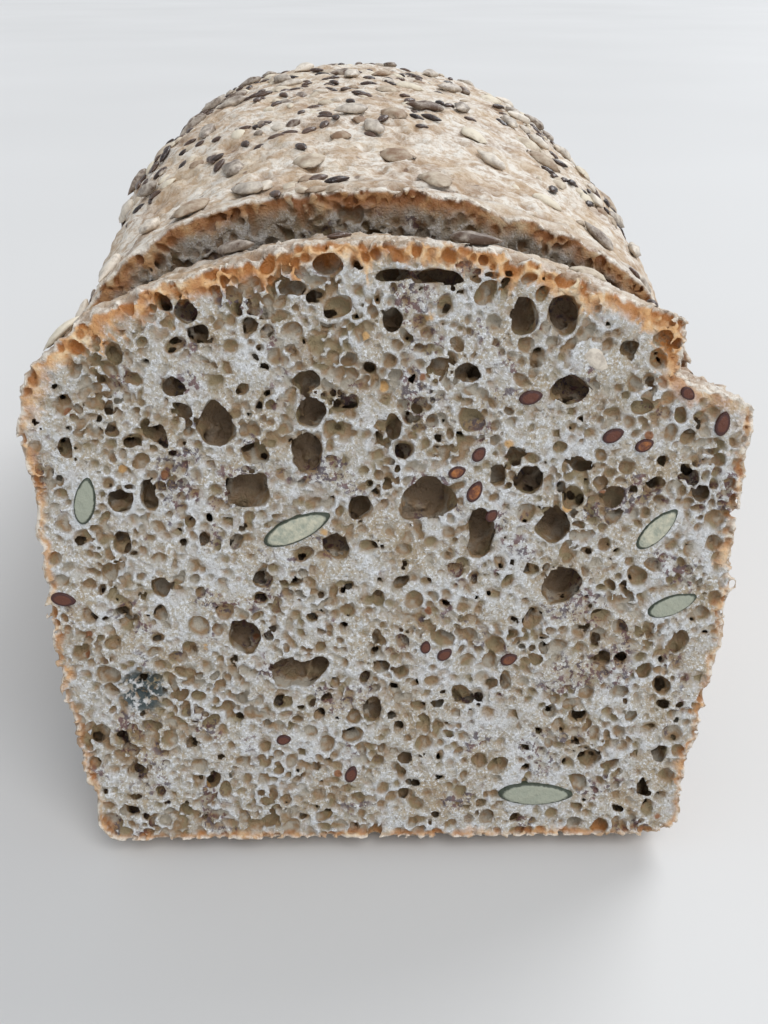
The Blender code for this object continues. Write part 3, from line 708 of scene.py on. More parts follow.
class Crumb:
    """Open crumb behind a cut face, kept as distances on a grid of x, depth and z."""

    def __init__(self, ring, crest, face, inner, voxel, seed):
        self.voxel = voxel
        self.face = face
        self.inner = inner
        self.crest = crest
        self.inward = 1 if inner > face else -1
        margin = GRID_MARGIN_VOXELS * voxel
        self.axes = (
            np.arange(-SLICE_HALF_WIDTH - margin, SLICE_HALF_WIDTH + margin, voxel),
            np.arange(min(face, inner) - margin, max(face, inner) + margin, voxel),
            np.arange(-margin, crest + margin, voxel),
        )
        self.make_outline(ring)
        self.warped = [self.warp(place, seed + k) for k, place in enumerate(np.ix_(*self.axes))]
        self.hollow = np.full(self.warped[0].shape, FAR, np.float32)
        self.random = random.Random(seed)
        self.sheet = (self.axes[0], self.axes[1][:1], self.axes[2])
        waves = [grid_noise(self.sheet, size, FACE_NOISE_SEED) * reach for size, reach in FACE_UNEVEN]
        self.uneven = np.maximum(sum(waves) + FACE_SETBACK, 0)
        x, depth, z = np.ix_(self.axes[0], [face], self.axes[2])
        self.room = EDGE_WALL - self.outline(x, depth, z)[:, 0]

    def warp(self, place, seed):
        """One coordinate of the grid, moved about so that bubbles come out uneven."""
        moved = place.astype(np.float32)
        for size, reach in WARPS:
            moved = moved + reach * grid_noise(self.axes, size, seed)
        return moved

    def make_outline(self, ring):
        """Radius of the crust about the core for each layer and angle, and its fine relief there."""
        self.layers = np.arange(self.axes[1][0], self.axes[1][-1] + OUTLINE_LAYER, OUTLINE_LAYER)
        turns = np.linspace(-math.pi, math.pi, OUTLINE_TURNS, endpoint=False)
        radii, sunk = [], []
        for depth in self.layers:
            spots, depths = ring(depth)
            spots = np.array([(spot.x, spot.z - CORE_HEIGHT) for spot in spots])
            angles = np.arctan2(spots[:, 1], spots[:, 0])
            radii.append(np.interp(turns, angles, np.hypot(*spots.T), period=2 * math.pi))
            sunk.append(np.interp(turns, angles, depths, period=2 * math.pi))
        self.radii = np.array(radii, np.float32)
        self.sunk = np.array(sunk, np.float32)
        step = 2 * math.pi / OUTLINE_TURNS
        slope = (np.roll(self.radii, -1, 1) - np.roll(self.radii, 1, 1)) / (2 * step * self.radii)
        self.slant = 1 / np.sqrt(1 + slope ** 2)

    def keep_clear(self, places):
        """Keep strewn bubbles away from round places on the face: x, z and radius."""
        across, up = np.ix_(self.axes[0], self.axes[2])
        for x, z, radius in places:
            self.room = np.minimum(self.room, np.hypot(across - x, up - z) - radius)

    def look_up(self, table, x, depth, z):
        """Values of a table of layers and angles at places, and its entries just below them."""
        turn = (np.arctan2(z - CORE_HEIGHT, x) + math.pi) / (2 * math.pi) * OUTLINE_TURNS
        first = np.floor(turn).astype(int)
        share = (turn - first).astype(np.float32)
        left, right = first % OUTLINE_TURNS, (first + 1) % OUTLINE_TURNS
        level = np.clip((depth - self.layers[0]) / OUTLINE_LAYER, 0, len(self.layers) - 1)
        below = np.minimum(level.astype(int), len(self.layers) - 2)
        rise = (level - below).astype(np.float32)
        lower = table[below, left] * (1 - share) + table[below, right] * share
        upper = table[below + 1, left] * (1 - share) + table[below + 1, right] * share
        return lower * (1 - rise) + upper * rise, (below, left)

    def outline(self, x, depth, z):
        """Distance from the crust, negative inside it."""
        radius, nearest = self.look_up(self.radii, x, depth, z)
        return (np.hypot(x, z - CORE_HEIGHT) - radius) * self.slant[nearest]

    def bubble(self, x, sunk, z, radii, turn=0.0, room=0.0):
        """Hollow out an ellipsoid sunk behind the face; distances hold as far as room beyond it."""
        middle = (x, self.face + self.inward * sunk, z)
        reach = max(radii) + WARP_MARGIN + room + 2 * self.voxel
        windows = []
        for axis, place in zip(self.axes, middle):
            low = max(0, int((place - reach - axis[0]) / self.voxel))
            windows.append(slice(low, max(low, int((place + reach - axis[0]) / self.voxel) + 2)))
        window = tuple(windows)
        across, behind, up = (warped[window] - place for warped, place in zip(self.warped, middle))
        if not across.size:
            return
        cosine, sine = math.cos(turn), math.sin(turn)
        long = (cosine * across + sine * up) / radii[0]
        high = (cosine * up - sine * across) / radii[2]
        far = np.sqrt(long ** 2 + (behind / radii[1]) ** 2 + high ** 2) - 1
        held = self.hollow[window]
        np.minimum(held, far * min(radii), out=held)

    def large_hole(self, x, z, width, height):
        """A large hole with lobes round its rim and smaller bubbles opening in its walls."""
        sunk = HOLE_SINK_SHARE * (width + height)
        floor = abs(self.inner - self.face) - LAYER_OVERLAP - HOLE_FLOOR_WALL
        deep = min(HOLE_DEPTH_SHARE * (width + height) / 2, floor - sunk)
        core = (width / 2 * HOLE_CORE, deep, height / 2 * HOLE_CORE)
        self.bubble(x, sunk, z, core, room=LARGEST_BUBBLE)
        for _ in range(HOLE_LOBES):
            turn = self.random.uniform(0, 2 * math.pi)
            small = min(width, height) / 2 * self.random.uniform(*LOBE_SHARES)
            lobe_x = x + (width / 2 - small) * math.cos(turn)
            lobe_z = z + (height / 2 - small) * math.sin(turn)
            lobe_sunk = sunk * self.random.uniform(*LOBE_SINKS)
            radii = (small, small * LOBE_DEEP, small)
            self.bubble(lobe_x, lobe_sunk, lobe_z, radii, room=LARGEST_BUBBLE)
        for _ in range(HOLE_WALL_BUBBLES):
            turn = self.random.uniform(0, 2 * math.pi)
            tilt = self.random.uniform(*WALL_BUBBLE_TILTS)
            small = self.random.uniform(*WALL_BUBBLE_RADII)
            wall_x = x + width / 2 * math.cos(turn) * math.cos(tilt)
            wall_z = z + height / 2 * math.sin(turn) * math.cos(tilt)
            self.bubble(wall_x, sunk + deep * math.sin(tilt), wall_z, (small, small, small))

    def hide_bubbles(self):
        """Bubbles wholly behind the face, which the open ones break into."""
        for _ in range(HIDDEN_BUBBLES):
            radius = self.random.uniform(*HIDDEN_BUBBLE_RADII)
            column = self.random.randrange(self.room.shape[0])
            row = self.random.randrange(self.room.shape[1])
            sunk = radius + self.random.uniform(*HIDDEN_BUBBLE_SUNK)
            if self.room[column, row] > radius + HIDDEN_BUBBLE_EDGE:
                self.bubble(self.axes[0][column], sunk, self.axes[2][row], (radius, radius, radius))

    def strew(self, classes):
        """Fill the face with bubbles as large as fit, the largest class first."""
        behind = self.inward * (self.axes[1] - self.face)
        spread = WALL_SPREAD * grid_noise(self.sheet, *WALL_NOISE)[:, 0]
        walls = np.maximum(THINNEST_WALL, MEAN_WALL + spread)
        shuffle = np.random.default_rng(self.random.randrange(SHUFFLES)).permutation
        for smallest, largest, number in classes:
            open_to_face = behind < FACE_SETBACK * 2 + largest / 2
            layers = np.flatnonzero((behind > -smallest / 2) & open_to_face)
            near = self.hollow[:, layers, :]
            free = np.minimum(near, self.room[:, None, :]) - walls[:, None, :]
            for column, layer, row in shuffle(np.argwhere(free > smallest)):
                layer = layers[layer]
                wanted = self.random.uniform(smallest, largest)
                sunk = behind[layer] - self.uneven[column, 0, row]
                room = min(self.hollow[column, layer, row], self.room[column, row]) - walls[column, row]
                radius = min(room + self.random.choice(WALL_BREAKS), wanted)
                if radius < smallest or not BUBBLE_SINK[0] * radius < sunk < BUBBLE_SINK[1] * radius:
                    continue
                stretch = self.random.uniform(*BUBBLE_STRETCH)
                radii = (radius * stretch, radius * BUBBLE_DEEP, radius / stretch)
                turn = self.random.uniform(0, math.pi)
                x, z = self.axes[0][column], self.axes[2][row]
                self.bubble(x, behind[layer], z, radii, turn, room=largest)
                number -= 1
                if number == 0:
                    break

    def surface(self):
        """Vertices and triangles of the largest body, with the values in mm that its colours need."""
        x, depth, z = np.ix_(*self.axes)
        behind = self.inward * (depth - self.face)
        solid = np.maximum(self.outline(x, depth, z), self.uneven - behind)
        solid = np.maximum(solid, behind - abs(self.inner - self.face))
        blend = np.clip(0.5 + 0.5 * (solid + self.hollow) / RIM_ROUND, 0, 1)
        field = solid * blend - self.hollow * (1 - blend) + RIM_ROUND * blend * (1 - blend)
        field += ROUGH_REACH * (ROUGH_MEAN + grid_noise(self.axes, ROUGH_SIZE, ROUGH_SEED))
        grid = openvdb.FloatGrid(VDB_BAND)
        grid.copyFromArray(np.clip(field / self.voxel, -VDB_BAND, VDB_BAND).astype(np.float32))
        spots, triangles, quads = grid.convertToPolygons(isovalue=0.0, adaptivity=ADAPTIVITY)
        triangles = np.vstack([triangles, quads[:, (0, 1, 2)], quads[:, (0, 2, 3)]])
        triangles = triangles.astype(np.int64)
        spots = spots * self.voxel + [axis[0] for axis in self.axes]
        spots, triangles = largest_body(spots, triangles)
        inset = -self.outline(*spots.T)
        columns, rows = (((spots[:, k] - self.axes[k][0]) / self.voxel).astype(int) for k in (0, 2))
        deep = self.inward * (spots[:, 1] - self.face) - self.uneven[columns, 0, rows]
        sunk, _ = self.look_up(self.sunk, *spots.T)
        return spots, triangles, {"inset": inset / MM, "depth": deep / MM, "sunk": sunk / MM}


def largest_body(spots, triangles):
    """The connected body with the most vertices; sealed bubbles and loose scraps go."""
    label = np.arange(len(spots))
    while True:
        before = label.copy()
        lowest = label[triangles].min(axis=1)
        for corner in range(3):
            np.minimum.at(label, triangles[:, corner], lowest)
        label = label[label]
        if (label == before).all():
            break
    names, sizes = np.unique(label, return_counts=True)
    kept = label == names[np.argmax(sizes)]
    number = np.cumsum(kept) - 1
    return spots[kept], number[triangles[kept[triangles[:, 0]]]]


def vertex_normals(spots, faces):
    """Smooth normals of a whole surface, so that the bands cut from it meet without a seam."""
    first, second, third = (spots[faces[:, k]] for k in range(3))
    across = np.cross(second - first, third - first)
    normals = np.zeros_like(spots)
    for corner in range(3):
        np.add.at(normals, faces[:, corner], across)
    lengths = np.linalg.norm(normals, axis=1, keepdims=True)
    return normals / np.maximum(lengths, SHORTEST_NORMAL)


def make_piece(name, spots, faces, attributes, normals=None):
    """A smooth mesh piece with values stored on its vertices."""
    mesh = bpy.data.meshes.new(name)
    sides = faces.shape[1]
    mesh.vertices.add(len(spots))
    mesh.vertices.foreach_set("co", spots.astype(np.float32).ravel())
    mesh.loops.add(faces.size)
    mesh.loops.foreach_set("vertex_index", faces.astype(np.int32).ravel())
    mesh.polygons.add(len(faces))
    mesh.polygons.foreach_set("loop_start", np.arange(0, faces.size, sides, dtype=np.int32))
    mesh.update(calc_edges=True)
    for title, values in attributes.items():
        layer = mesh.attributes.new(title, "FLOAT", "POINT")
        layer.data.foreach_set("value", np.asarray(values, np.float32))
    mesh.shade_smooth()
    if normals is not None:
        mesh.normals_split_custom_set_from_vertices(normals.astype(np.float32))
    obj = bpy.data.objects.new(name, mesh)
    bpy.context.scene.collection.objects.link(obj)
    return obj


def dress(obj, material, slot, *nodes):
    """The piece gets its material, rides on the part and stands for the nodes."""
    obj.data.materials.append(material)
    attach(obj, "root")
    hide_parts(*nodes)


def make_bands(name, surface, bands, matrix):
    """The surface, placed by a matrix and split across the bread into pieces of equal size."""
    spots, faces, attributes = surface
    middle = spots[faces, 0].mean(axis=1)
    order = np.argsort(middle, kind="stable")
    moved = np.array(matrix)
    spots = spots @ moved[:3, :3].T + moved[:3, 3]
    normals = vertex_normals(spots, faces)
    pieces = []
    for k, chosen in enumerate(np.array_split(order, bands)):
        used, corners = np.unique(faces[chosen], return_inverse=True)
        kept = {title: values[used] for title, values in attributes.items()}
        corners = corners.reshape(-1, 3)
        pieces.append(make_piece(f"{name}_{k + 1}", spots[used], corners, kept, normals[used]))
    return pieces


def frame_at(origin, across, normal, turn):
    """A frame whose Z is the surface normal and whose X is turned from a tangent by an angle."""
    z_axis = normal.normalized()
    x_axis = (across - z_axis * across.dot(z_axis)).normalized()
    y_axis = z_axis.cross(x_axis)
    axes = Matrix((x_axis, y_axis, z_axis)).transposed().to_4x4()
    return Matrix.Translation(origin) @ axes @ Matrix.Rotation(turn, 4, "Z")


def dome_point(y, angle, fine=0.0):
    """Point of the loaf's crust over the dome; the angle runs from 0 at right to pi at left."""
    *sizes, _ = loaf_sizes(y)
    x, z = dome_spot(*sizes, angle)
    point = Vector((x, y, z))
    return sink_relief(point, loaf_core(y), fine * fine_relief(point))


def dome_frame(y, angle, turn, lift, fine=0.0):
    """Frame on the dome's crust for a seed whose middle is raised by lift."""
    here = dome_point(y, angle, fine)
    along = dome_point(y + SLOPE_STEP, angle) - dome_point(y - SLOPE_STEP, angle)
    across = dome_point(y, angle - SLOPE_ANGLE) - dome_point(y, angle + SLOPE_ANGLE)
    normal = across.cross(along).normalized()
    return frame_at(here + normal * lift, along, normal, turn)


def dome_place(draw, edge, shares):
    """A drawn place on the dome: y, angle, turn and share of the seed's size."""
    y = draw.uniform(CUT_Y + edge, END_Y - DOME_SEED_EDGE)
    angle = draw.uniform(DOME_SEED_SHOULDER_ANGLE, math.pi - DOME_SEED_SHOULDER_ANGLE)
    return y, angle, draw.uniform(0, math.pi), draw.uniform(*shares)


def dome_seeds():
    """Size, share and frame of each seed that the part has on its dome, and their places."""
    draw = random.Random(DOME_SEED_RANDOM)
    placed = []
    spots = []
    for size, number, apart in DOME_SEEDS:
        left = number
        for _ in range(DOME_SEED_TRIES):
            if left == 0:
                break
            y, angle, turn, share = dome_place(draw, DOME_SEED_EDGE, DOME_SEED_GROWTH)
            here = dome_point(y, angle)
            close = any((here - spot).length < apart for spot in spots)
            if close or here.z < DOME_SEED_LOWEST:
                continue
            spots.append(here)
            lift = size[2] * share * SEED_PROUD_SHARE / 2
            placed.append((size, share, dome_frame(y, angle, turn, lift, DOME_SEED_SINK)))
            left -= 1
    return placed, spots


def small_dome_bits(spots):
    """Small flax, chips of flakes and crumbs between the dome's seeds: size, share and frame."""
    draw = random.Random(SMALL_BIT_RANDOM)
    placed = []
    for size, number, shares in SMALL_BITS:
        for _ in range(number):
            y, angle, turn, share = dome_place(draw, SMALL_BIT_EDGE, shares)
            here = dome_point(y, angle)
            if any((here - spot).length < SMALL_BIT_ROOM for spot in spots):
                continue
            bare = BARE_LIMIT * (1 - smooth(y, CUT_Y, CUT_Y + BARE_LENGTH))
            if noise.noise(here / CLUSTER_SIZE) < draw.uniform(*CLUSTER_LIMIT) + bare:
                continue
            lift = size[2] * share * SEED_PROUD_SHARE / 2
            placed.append((size, share, dome_frame(y, angle, turn, lift, 1.0)))
    return placed


def face_seed_places(seeds):
    """Size, length share and frame of each seed on the slice's face, in the part's frame."""
    placed = []
    for size, x, z, turn, share in seeds:
        origin = Vector((x, size[2] / 2 - FACE_PROUD, z))
        place = frame_at(origin, Vector((1, 0, 0)), Vector((0, -1, 0)), math.radians(turn))
        placed.append((size, share, slice_matrix() @ place))
    return placed


def slice_crust_seeds():
    """Size, share and frame of each seed on the slice's top crust, in the part's frame."""
    placed = []
    for size, x, depth, turn in SLICE_CRUST_SEEDS:
        ring, _ = slice_ring(depth, PART_STEPS, 0.0)
        upper = [p for p in ring if p.z > SLICE_SHOULDER]
        near = min(range(1, len(upper) - 1), key=lambda k: abs(upper[k].x - x))
        across = upper[near - 1] - upper[near + 1]
        normal = across.cross(Vector((0, 1, 0))).normalized()
        if normal.z < 0:
            normal = -normal
        origin = upper[near] + normal * size[2] * SEED_PROUD_SHARE
        place = frame_at(origin, Vector((1, 0, 0)), normal, math.radians(turn))
        placed.append((size, 1.0, slice_matrix() @ place))
    return placed


def kernel_form(along, around, number):
    """Unit form of a hulled kernel: pointed at one end, ridged, a little twisted."""
    narrow = KERNEL_WIDTH * math.sin(math.pi * along ** KERNEL_POINT) ** KERNEL_BLUNT
    ridges = math.cos(KERNEL_RIDGES * around + number) * math.sin(math.pi * along)
    reach = narrow * (1 + KERNEL_RIDGE * ridges) / 2
    turn = around + KERNEL_TWIST * (along - 0.5)
    place = Vector((KERNEL_BEND_RATE * along, KERNEL_BEND_SPREAD * number, 0.0))
    bend = KERNEL_BEND * noise.noise(place)
    return along - 0.5, math.cos(turn) * reach + bend, math.sin(turn) * reach


def flax_form(along, around, number):
    """Unit form of a flax seed: a smooth, flat drop."""
    base, growth, turn = FLAX_TAPER
    narrow = math.sin(math.pi * along) ** FLAX_BLUNT * (base + growth * along * (turn - along))
    return along - 0.5, math.cos(around) * narrow / 2, math.sin(around) * narrow / 2


def flake_form(along, around, number):
    """Unit form of a rolled flake: a thin, curled disc with a ragged edge."""
    round_share = math.sqrt(math.sin(math.pi * along))
    place = Vector((math.cos(around), math.sin(around), number + along * 2))
    ragged = 1 + FLAKE_RAGGED * noise.noise(place)
    side = math.cos(around) * round_share * ragged / 2
    curl = FLAKE_CURL * ((2 * along - 1) ** 2 + (2 * side) ** 2)
    return (along - 0.5) * ragged, side, math.sin(around) * round_share / 2 - curl


def seed_mesh(form, steps, placed, dents):
    """One joined mesh of seeds of a form: vertices, quads and each vertex's seed number."""
    rows, columns = steps
    spots, faces, numbers = [], [], []
    for number, (size, share, place) in enumerate(placed):
        first = len(spots)
        scale = Vector((size[0] * share, size[1] * share ** 0.5, size[2] * share ** 0.5))
        for row in range(rows + 1):
            angle = math.pi * (SEED_TIP + (1 - 2 * SEED_TIP) * row / rows)
            along = (1 - math.cos(angle)) / 2
            for column in range(columns):
                unit = Vector(form(along, 2 * math.pi * column / columns, number))
                spot = Vector(a * b for a, b in zip(unit, scale))
                dent = noise.noise(spot / DENT_SIZE + Vector((0, 0, number)))
                spots.append(place @ (spot - unit * dents * (0.5 + 0.5 * dent)))
        faces += ring_quads(first, rows, columns)
        numbers.extend([number] * (len(spots) - first))
    return np.array(spots), np.array(faces), numbers


def ring_quads(first, rows, columns):
    """Quads between the rows of points that follow the first one."""
    quads = []
    for row in range(rows):
        low = first + row * columns
        for column in range(columns):
            after = (column + 1) % columns
            quads.append((low + column, low + after, low + columns + after, low + columns + column))
    return quads


def seed_draw(number):
    """A repeatable share for a seed's number."""
    return random.Random(number).random()


def make_seeds(form, placed, slot, size, steps, dents, tones, mottle_size, roughness):
    """A piece of joined seeds of one kind, with a share for each seed stored as draw."""
    spots, faces, numbers = seed_mesh(form, steps, of_size(placed, size), dents)
    draws = [seed_draw(number) for number in numbers]
    material = seed_material(slot, tones, mottle_size, roughness)
    piece = make_piece(f"{slot}s", spots, faces, {"draw": draws})
    dress(piece, material, slot, "slice", "loaf")


def make_cut_seeds(placed, name, slot, size, tones, skin, skin_limits, pale_draws):
    """Seeds cut by the knife: a flat face inside a thin rim that rounds inwards."""
    spots, faces, rims, draws = [], [], [], []
    for number, (size, share, place) in enumerate(of_size(placed, size)):
        first = len(spots)
        proud = place @ Matrix.Translation((0, 0, CUT_SEED_PROUD + size[2] / 2 - FACE_PROUD))
        for reach, drop in CUT_SEED_RINGS:
            for k in range(CUT_SEED_SIDES):
                turn = 2 * math.pi * k / CUT_SEED_SIDES
                along = math.cos(turn)
                pointed = 1 - CUT_SEED_POINT * (0.5 + 0.5 * along) ** 3
                x = along * reach * size[0] * share / 2
                y = math.sin(turn) * pointed * reach * size[1] * share ** 0.5 / 2
                spots.append(proud @ Vector((x, y, -drop * size[2])))
                rims.append(reach + drop)
                draws.append(seed_draw(number))
        faces += ring_quads(first, len(CUT_SEED_RINGS) - 1, CUT_SEED_SIDES)
    values = {"rim": rims, "draw": draws}
    piece = make_piece(f"{name}s", np.array(spots), np.array(faces)[:, ::-1], values)
    dress(piece, cut_seed_material(name, tones, skin, skin_limits, pale_draws), slot, "slice")


class Nodes:
    """Short forms for adding the nodes of one material."""

    def __init__(self, name):
        self.material = bpy.data.materials.new(name)
        self.material.use_nodes = True
        self.tree = self.material.node_tree
        self.shader = self.tree.nodes["Principled BSDF"]
        self.place = self.tree.nodes.new("ShaderNodeTexCoord").outputs["Object"]

    def feed(self, socket, value):
        """Link an output to a socket, or set the socket to a constant."""
        if isinstance(value, bpy.types.NodeSocket):
            self.tree.links.new(value, socket)
        elif isinstance(value, tuple):
            socket.default_value = (*value, 1.0)[:len(socket.default_value)]
        else:
            socket.default_value = value

    def add(self, kind, inputs, **settings):
        """A node of a kind with its settings and with values for its inputs, by name or number."""
        node = self.tree.nodes.new("ShaderNode" + kind)
        for name, value in settings.items():
            setattr(node, name, value)
        for name, value in inputs.items():
            self.feed(node.inputs[name], value)
        return node

    def attribute(self, title):
        """A value stored on the mesh."""
        return self.add("Attribute", {}, attribute_name=title).outputs["Fac"]

    def math(self, operation, *values):
        """A sum on values."""
        return self.add("Math", dict(enumerate(values)), operation=operation).outputs[0]

    def times(self, first, second):
        """The product of two values."""
        return self.math("MULTIPLY", first, second)

    def plus(self, value, other, share):
        """A value plus a share of another."""
        return self.math("MULTIPLY_ADD", other, share, value)

    def step(self, value, low, high, start=0.0, end=1.0):
        """Smooth step of a value from start at low to end at high."""
        inputs = dict(enumerate((value, low, high, start, end)))
        return self.add("MapRange", inputs, interpolation_type="SMOOTHSTEP").outputs[0]

    def grain(self, size, detail, roughness, shift=(0.0, 0.0, 0.0)):
        """Noise from 0 to 1 whose features are as large as size, moved by a shift."""
        place = self.add("Mapping", {"Location": shift, "Vector": self.place}).outputs[0]
        inputs = {"Scale": 1 / size, "Detail": detail, "Roughness": roughness, "Vector": place}
        return self.add("TexNoise", inputs).outputs["Fac"]

    def distance(self, place):
        """How far the surface is from a place."""
        inputs = {0: self.place, 1: place}
        return self.add("VectorMath", inputs, operation="DISTANCE").outputs["Value"]

    def height(self):
        """Height of the place, in mm."""
        return self.times(self.add("SeparateXYZ", {0: self.place}).outputs["Z"], 1 / MM)

    def ramp(self, value, stops):
        """Colour along stops of a place and a colour."""
        node = self.add("ValToRGB", {"Fac": value})
        bar = node.color_ramp
        while len(bar.elements) < len(stops):
            bar.elements.new(1.0)
        for element, (place, colour) in zip(bar.elements, stops):
            element.position = place
            element.color = (*colour, 1.0)
        return node.outputs["Color"]

    def mix(self, share, first, second, blend="MIX"):
        """Two colours mixed by a share."""
        node = self.add("Mix", {"Factor": share}, data_type="RGBA", blend_type=blend)
        sockets = (socket for socket in node.inputs if socket.type == "RGBA")
        for socket, colour in zip(sockets, (first, second)):
            self.feed(socket, colour)
        return next(socket for socket in node.outputs if socket.type == "RGBA")

    def tinted(self, colour, tint):
        """A colour multiplied by a tint."""
        return self.mix(1.0, colour, tint, "MULTIPLY")

    def specks(self, size, radius, rarity, most):
        """Share of small specks: one in a cell, only in the cells above a rarity."""
        cells = self.add("TexVoronoi", {"Scale": 1 / size, "Vector": self.place})
        split = self.add("SeparateColor", {0: cells.outputs["Color"]})
        chosen = self.step(split.outputs[0], rarity, rarity + SPECK_FADE)
        inside = self.step(cells.outputs["Distance"], radius * SPECK_CORE, radius, most, 0.0)
        return self.times(chosen, inside)

    def finish(self, colour, roughness, *bumps):
        """Feed the shader; each bump is a height and its reach."""
        self.feed(self.shader.inputs["Base Color"], colour)
        self.feed(self.shader.inputs["Roughness"], roughness)
        target = self.shader.inputs["Normal"]
        for height, reach in reversed(bumps):
            node = self.add("Bump", {"Distance": reach, "Height": height})
            self.feed(target, node.outputs[0])
            target = node.inputs["Normal"]
        return self.material


def crust_colour(nodes):
    """Baked dough: tan to brown, floury over the dome, darker where it is sunken."""
    fine = nodes.grain(*FINE_CRUST)
    baked = nodes.ramp(nodes.grain(*BLOTCHES), CRUST_RAMP)
    shaded = nodes.tinted(baked, CRUST_SHADE)
    baked = nodes.mix(nodes.step(fine, *SHADE_LIMITS), shaded, baked)
    high = nodes.step(nodes.height(), *FLOUR_HEIGHTS)
    patches = nodes.step(nodes.grain(*FLOUR_PATCHES), *FLOUR_PATCH_LIMITS)
    dust = nodes.step(fine, *FLOUR_DUST_LIMITS)
    colour = nodes.mix(nodes.times(nodes.times(high, patches), dust), baked, FLOUR_COLOUR)
    sunken = nodes.step(nodes.attribute("sunk"), *CRUST_SUNKEN)
    colour = nodes.mix(sunken, colour, CRUST_BROWN)
    return nodes.mix(nodes.specks(*CRUST_FLECKS), colour, BRAN_BROWN), fine


def crust_material():
    """The loaf's crust."""
    nodes = Nodes("crust")
    colour, fine = crust_colour(nodes)
    bumps = ((fine, CRUST_BUMP), (nodes.grain(*CRUST_PITS), PIT_BUMP))
    return nodes.finish(colour, nodes.step(fine, *CRUST_ROUGHNESS), *bumps)


def crumb_walls(nodes, fine):
    """The cut walls between the bubbles: grey-white to tan, with tiny pores painted as dark shade and
    white glints painted as highlights.
    """
    tone = nodes.times(nodes.grain(*CRUMB_TONES), WALL_TONE_SHARE)
    walls = nodes.ramp(nodes.plus(tone, fine, 1 - WALL_TONE_SHARE), WALL_RAMP)
    # Painted shade: tiny pores are dark specks of colour, not holes
    pore_shade = nodes.step(nodes.grain(*TINY_PORE_SHADE), *TINY_PORE_SHADE_LIMITS)
    walls = nodes.mix(pore_shade, walls, CRUMB_PAINTED_SHADE)
    # Painted highlight: bright white glints strewn over the walls
    return nodes.mix(nodes.step(nodes.grain(*PAINTED_GLINTS), *PAINTED_GLINT_LIMITS), walls, CRUMB_PAINTED_GLINT)


def bran(nodes, colour):
    """The colour with purple-brown bran strewn over it in clusters."""
    clusters = nodes.step(nodes.grain(*BRAN_CLUSTERS), *BRAN_LIMITS)
    shreds = nodes.step(nodes.grain(*BRAN_SHREDS), *SHRED_LIMITS)
    tint = nodes.ramp(nodes.grain(*BRAN_TONES), BRAN_RAMP)
    return nodes.mix(nodes.times(clusters, shreds), colour, tint)


def stain(nodes, colour):
    """The colour with the patch round a crushed seed."""
    place = slice_matrix() @ Vector(STAIN_PLACE)
    near = nodes.step(nodes.distance(place), STAIN_REACH / 2, STAIN_REACH, 1.0, 0.0)
    spots = nodes.step(nodes.grain(*STAIN_SPOTS), *STAIN_LIMITS)
    return nodes.mix(nodes.times(near, spots), colour, STAIN_TEAL)


def painted_rim_highlight(nodes, colour, inset, deep):
    """The colour with a painted highlight at the rim of the cut: pale, crumbly spots where light would
    catch the crumbs.
    """
    rim = nodes.times(nodes.step(inset, *RIM_HIGHLIGHT_INSET), nodes.step(deep, *RIM_HIGHLIGHT_DEPTH))
    spots = nodes.step(nodes.grain(*RIM_HIGHLIGHT_SPOTS), *RIM_HIGHLIGHT_LIMITS)
    return nodes.mix(nodes.times(rim, spots), colour, RIM_HIGHLIGHT_CREAM)


def baked_band(nodes, inset, sunken):
    """Colour of the baked zone inside the crust, painted deep brown as shade in its bubbles, and how
    much of it shows.
    """
    waves = nodes.math("SUBTRACT", nodes.grain(*BAND_WAVES), NOISE_MEAN)
    band = nodes.plus(inset, waves, BAND_WAVE_REACH)
    top = nodes.step(nodes.height(), *TOP_BAND_HEIGHTS)
    wide = nodes.times(nodes.step(band, *TOP_BAND), top)
    thin = nodes.step(band, *SIDE_BAND)
    colour = nodes.ramp(nodes.grain(*BAND_TONES), BAND_RAMP)
    # Painted shade: the baked zone's bubbles turn deep brown with depth
    return nodes.mix(sunken, colour, BAND_PORE_SHADE), nodes.math("MAXIMUM", wide, thin)


def crumb_material(name, tint):
    """Open crumb: pale walls, bubbles painted tan to brown as shade that deepens with depth, baked near
    the crust, with bran, a painted highlight at the rim and a tint that paints shadow where it is not
    white.
    """
    nodes = Nodes(name)
    inset = nodes.attribute("inset")
    deep = nodes.attribute("depth")
    fine = nodes.grain(*FINE_CRUMB)
    # Painted shade: the bubbles darken to tan and brown with depth behind the face, and the deepest to
    # dark brown
    pore_shade = nodes.ramp(nodes.grain(*PORE_SHADE_TONES), PORE_SHADE_RAMP)
    sunken = nodes.step(nodes.plus(deep, fine, CRUMB_WAVE_REACH), *PORE_SHADE_DEPTHS)
    colour = nodes.mix(sunken, crumb_walls(nodes, fine), pore_shade)
    colour = nodes.mix(nodes.step(deep, *DEEP_PORE_SHADE_DEPTHS), colour, PORE_DEEP_SHADE)
    colour = bran(nodes, colour)
    for speck, speck_colour in CRUMB_SPECKS:
        colour = nodes.mix(nodes.specks(*speck), colour, speck_colour)
    colour = stain(nodes, colour)
    band, shown = baked_band(nodes, inset, sunken)
    colour = nodes.tinted(nodes.mix(shown, colour, band), tint)
    outside, _ = crust_colour(nodes)
    colour = nodes.mix(nodes.step(inset, *CRUST_EDGE), colour, outside)
    # Painted highlight along the rim of the cut
    colour = painted_rim_highlight(nodes, colour, inset, deep)
    bumps = ((fine, CRUMB_BUMP), (nodes.grain(*CRUMB_GRIT), GRIT_BUMP))
    return nodes.finish(colour, nodes.step(fine, *CRUMB_ROUGHNESS), *bumps)


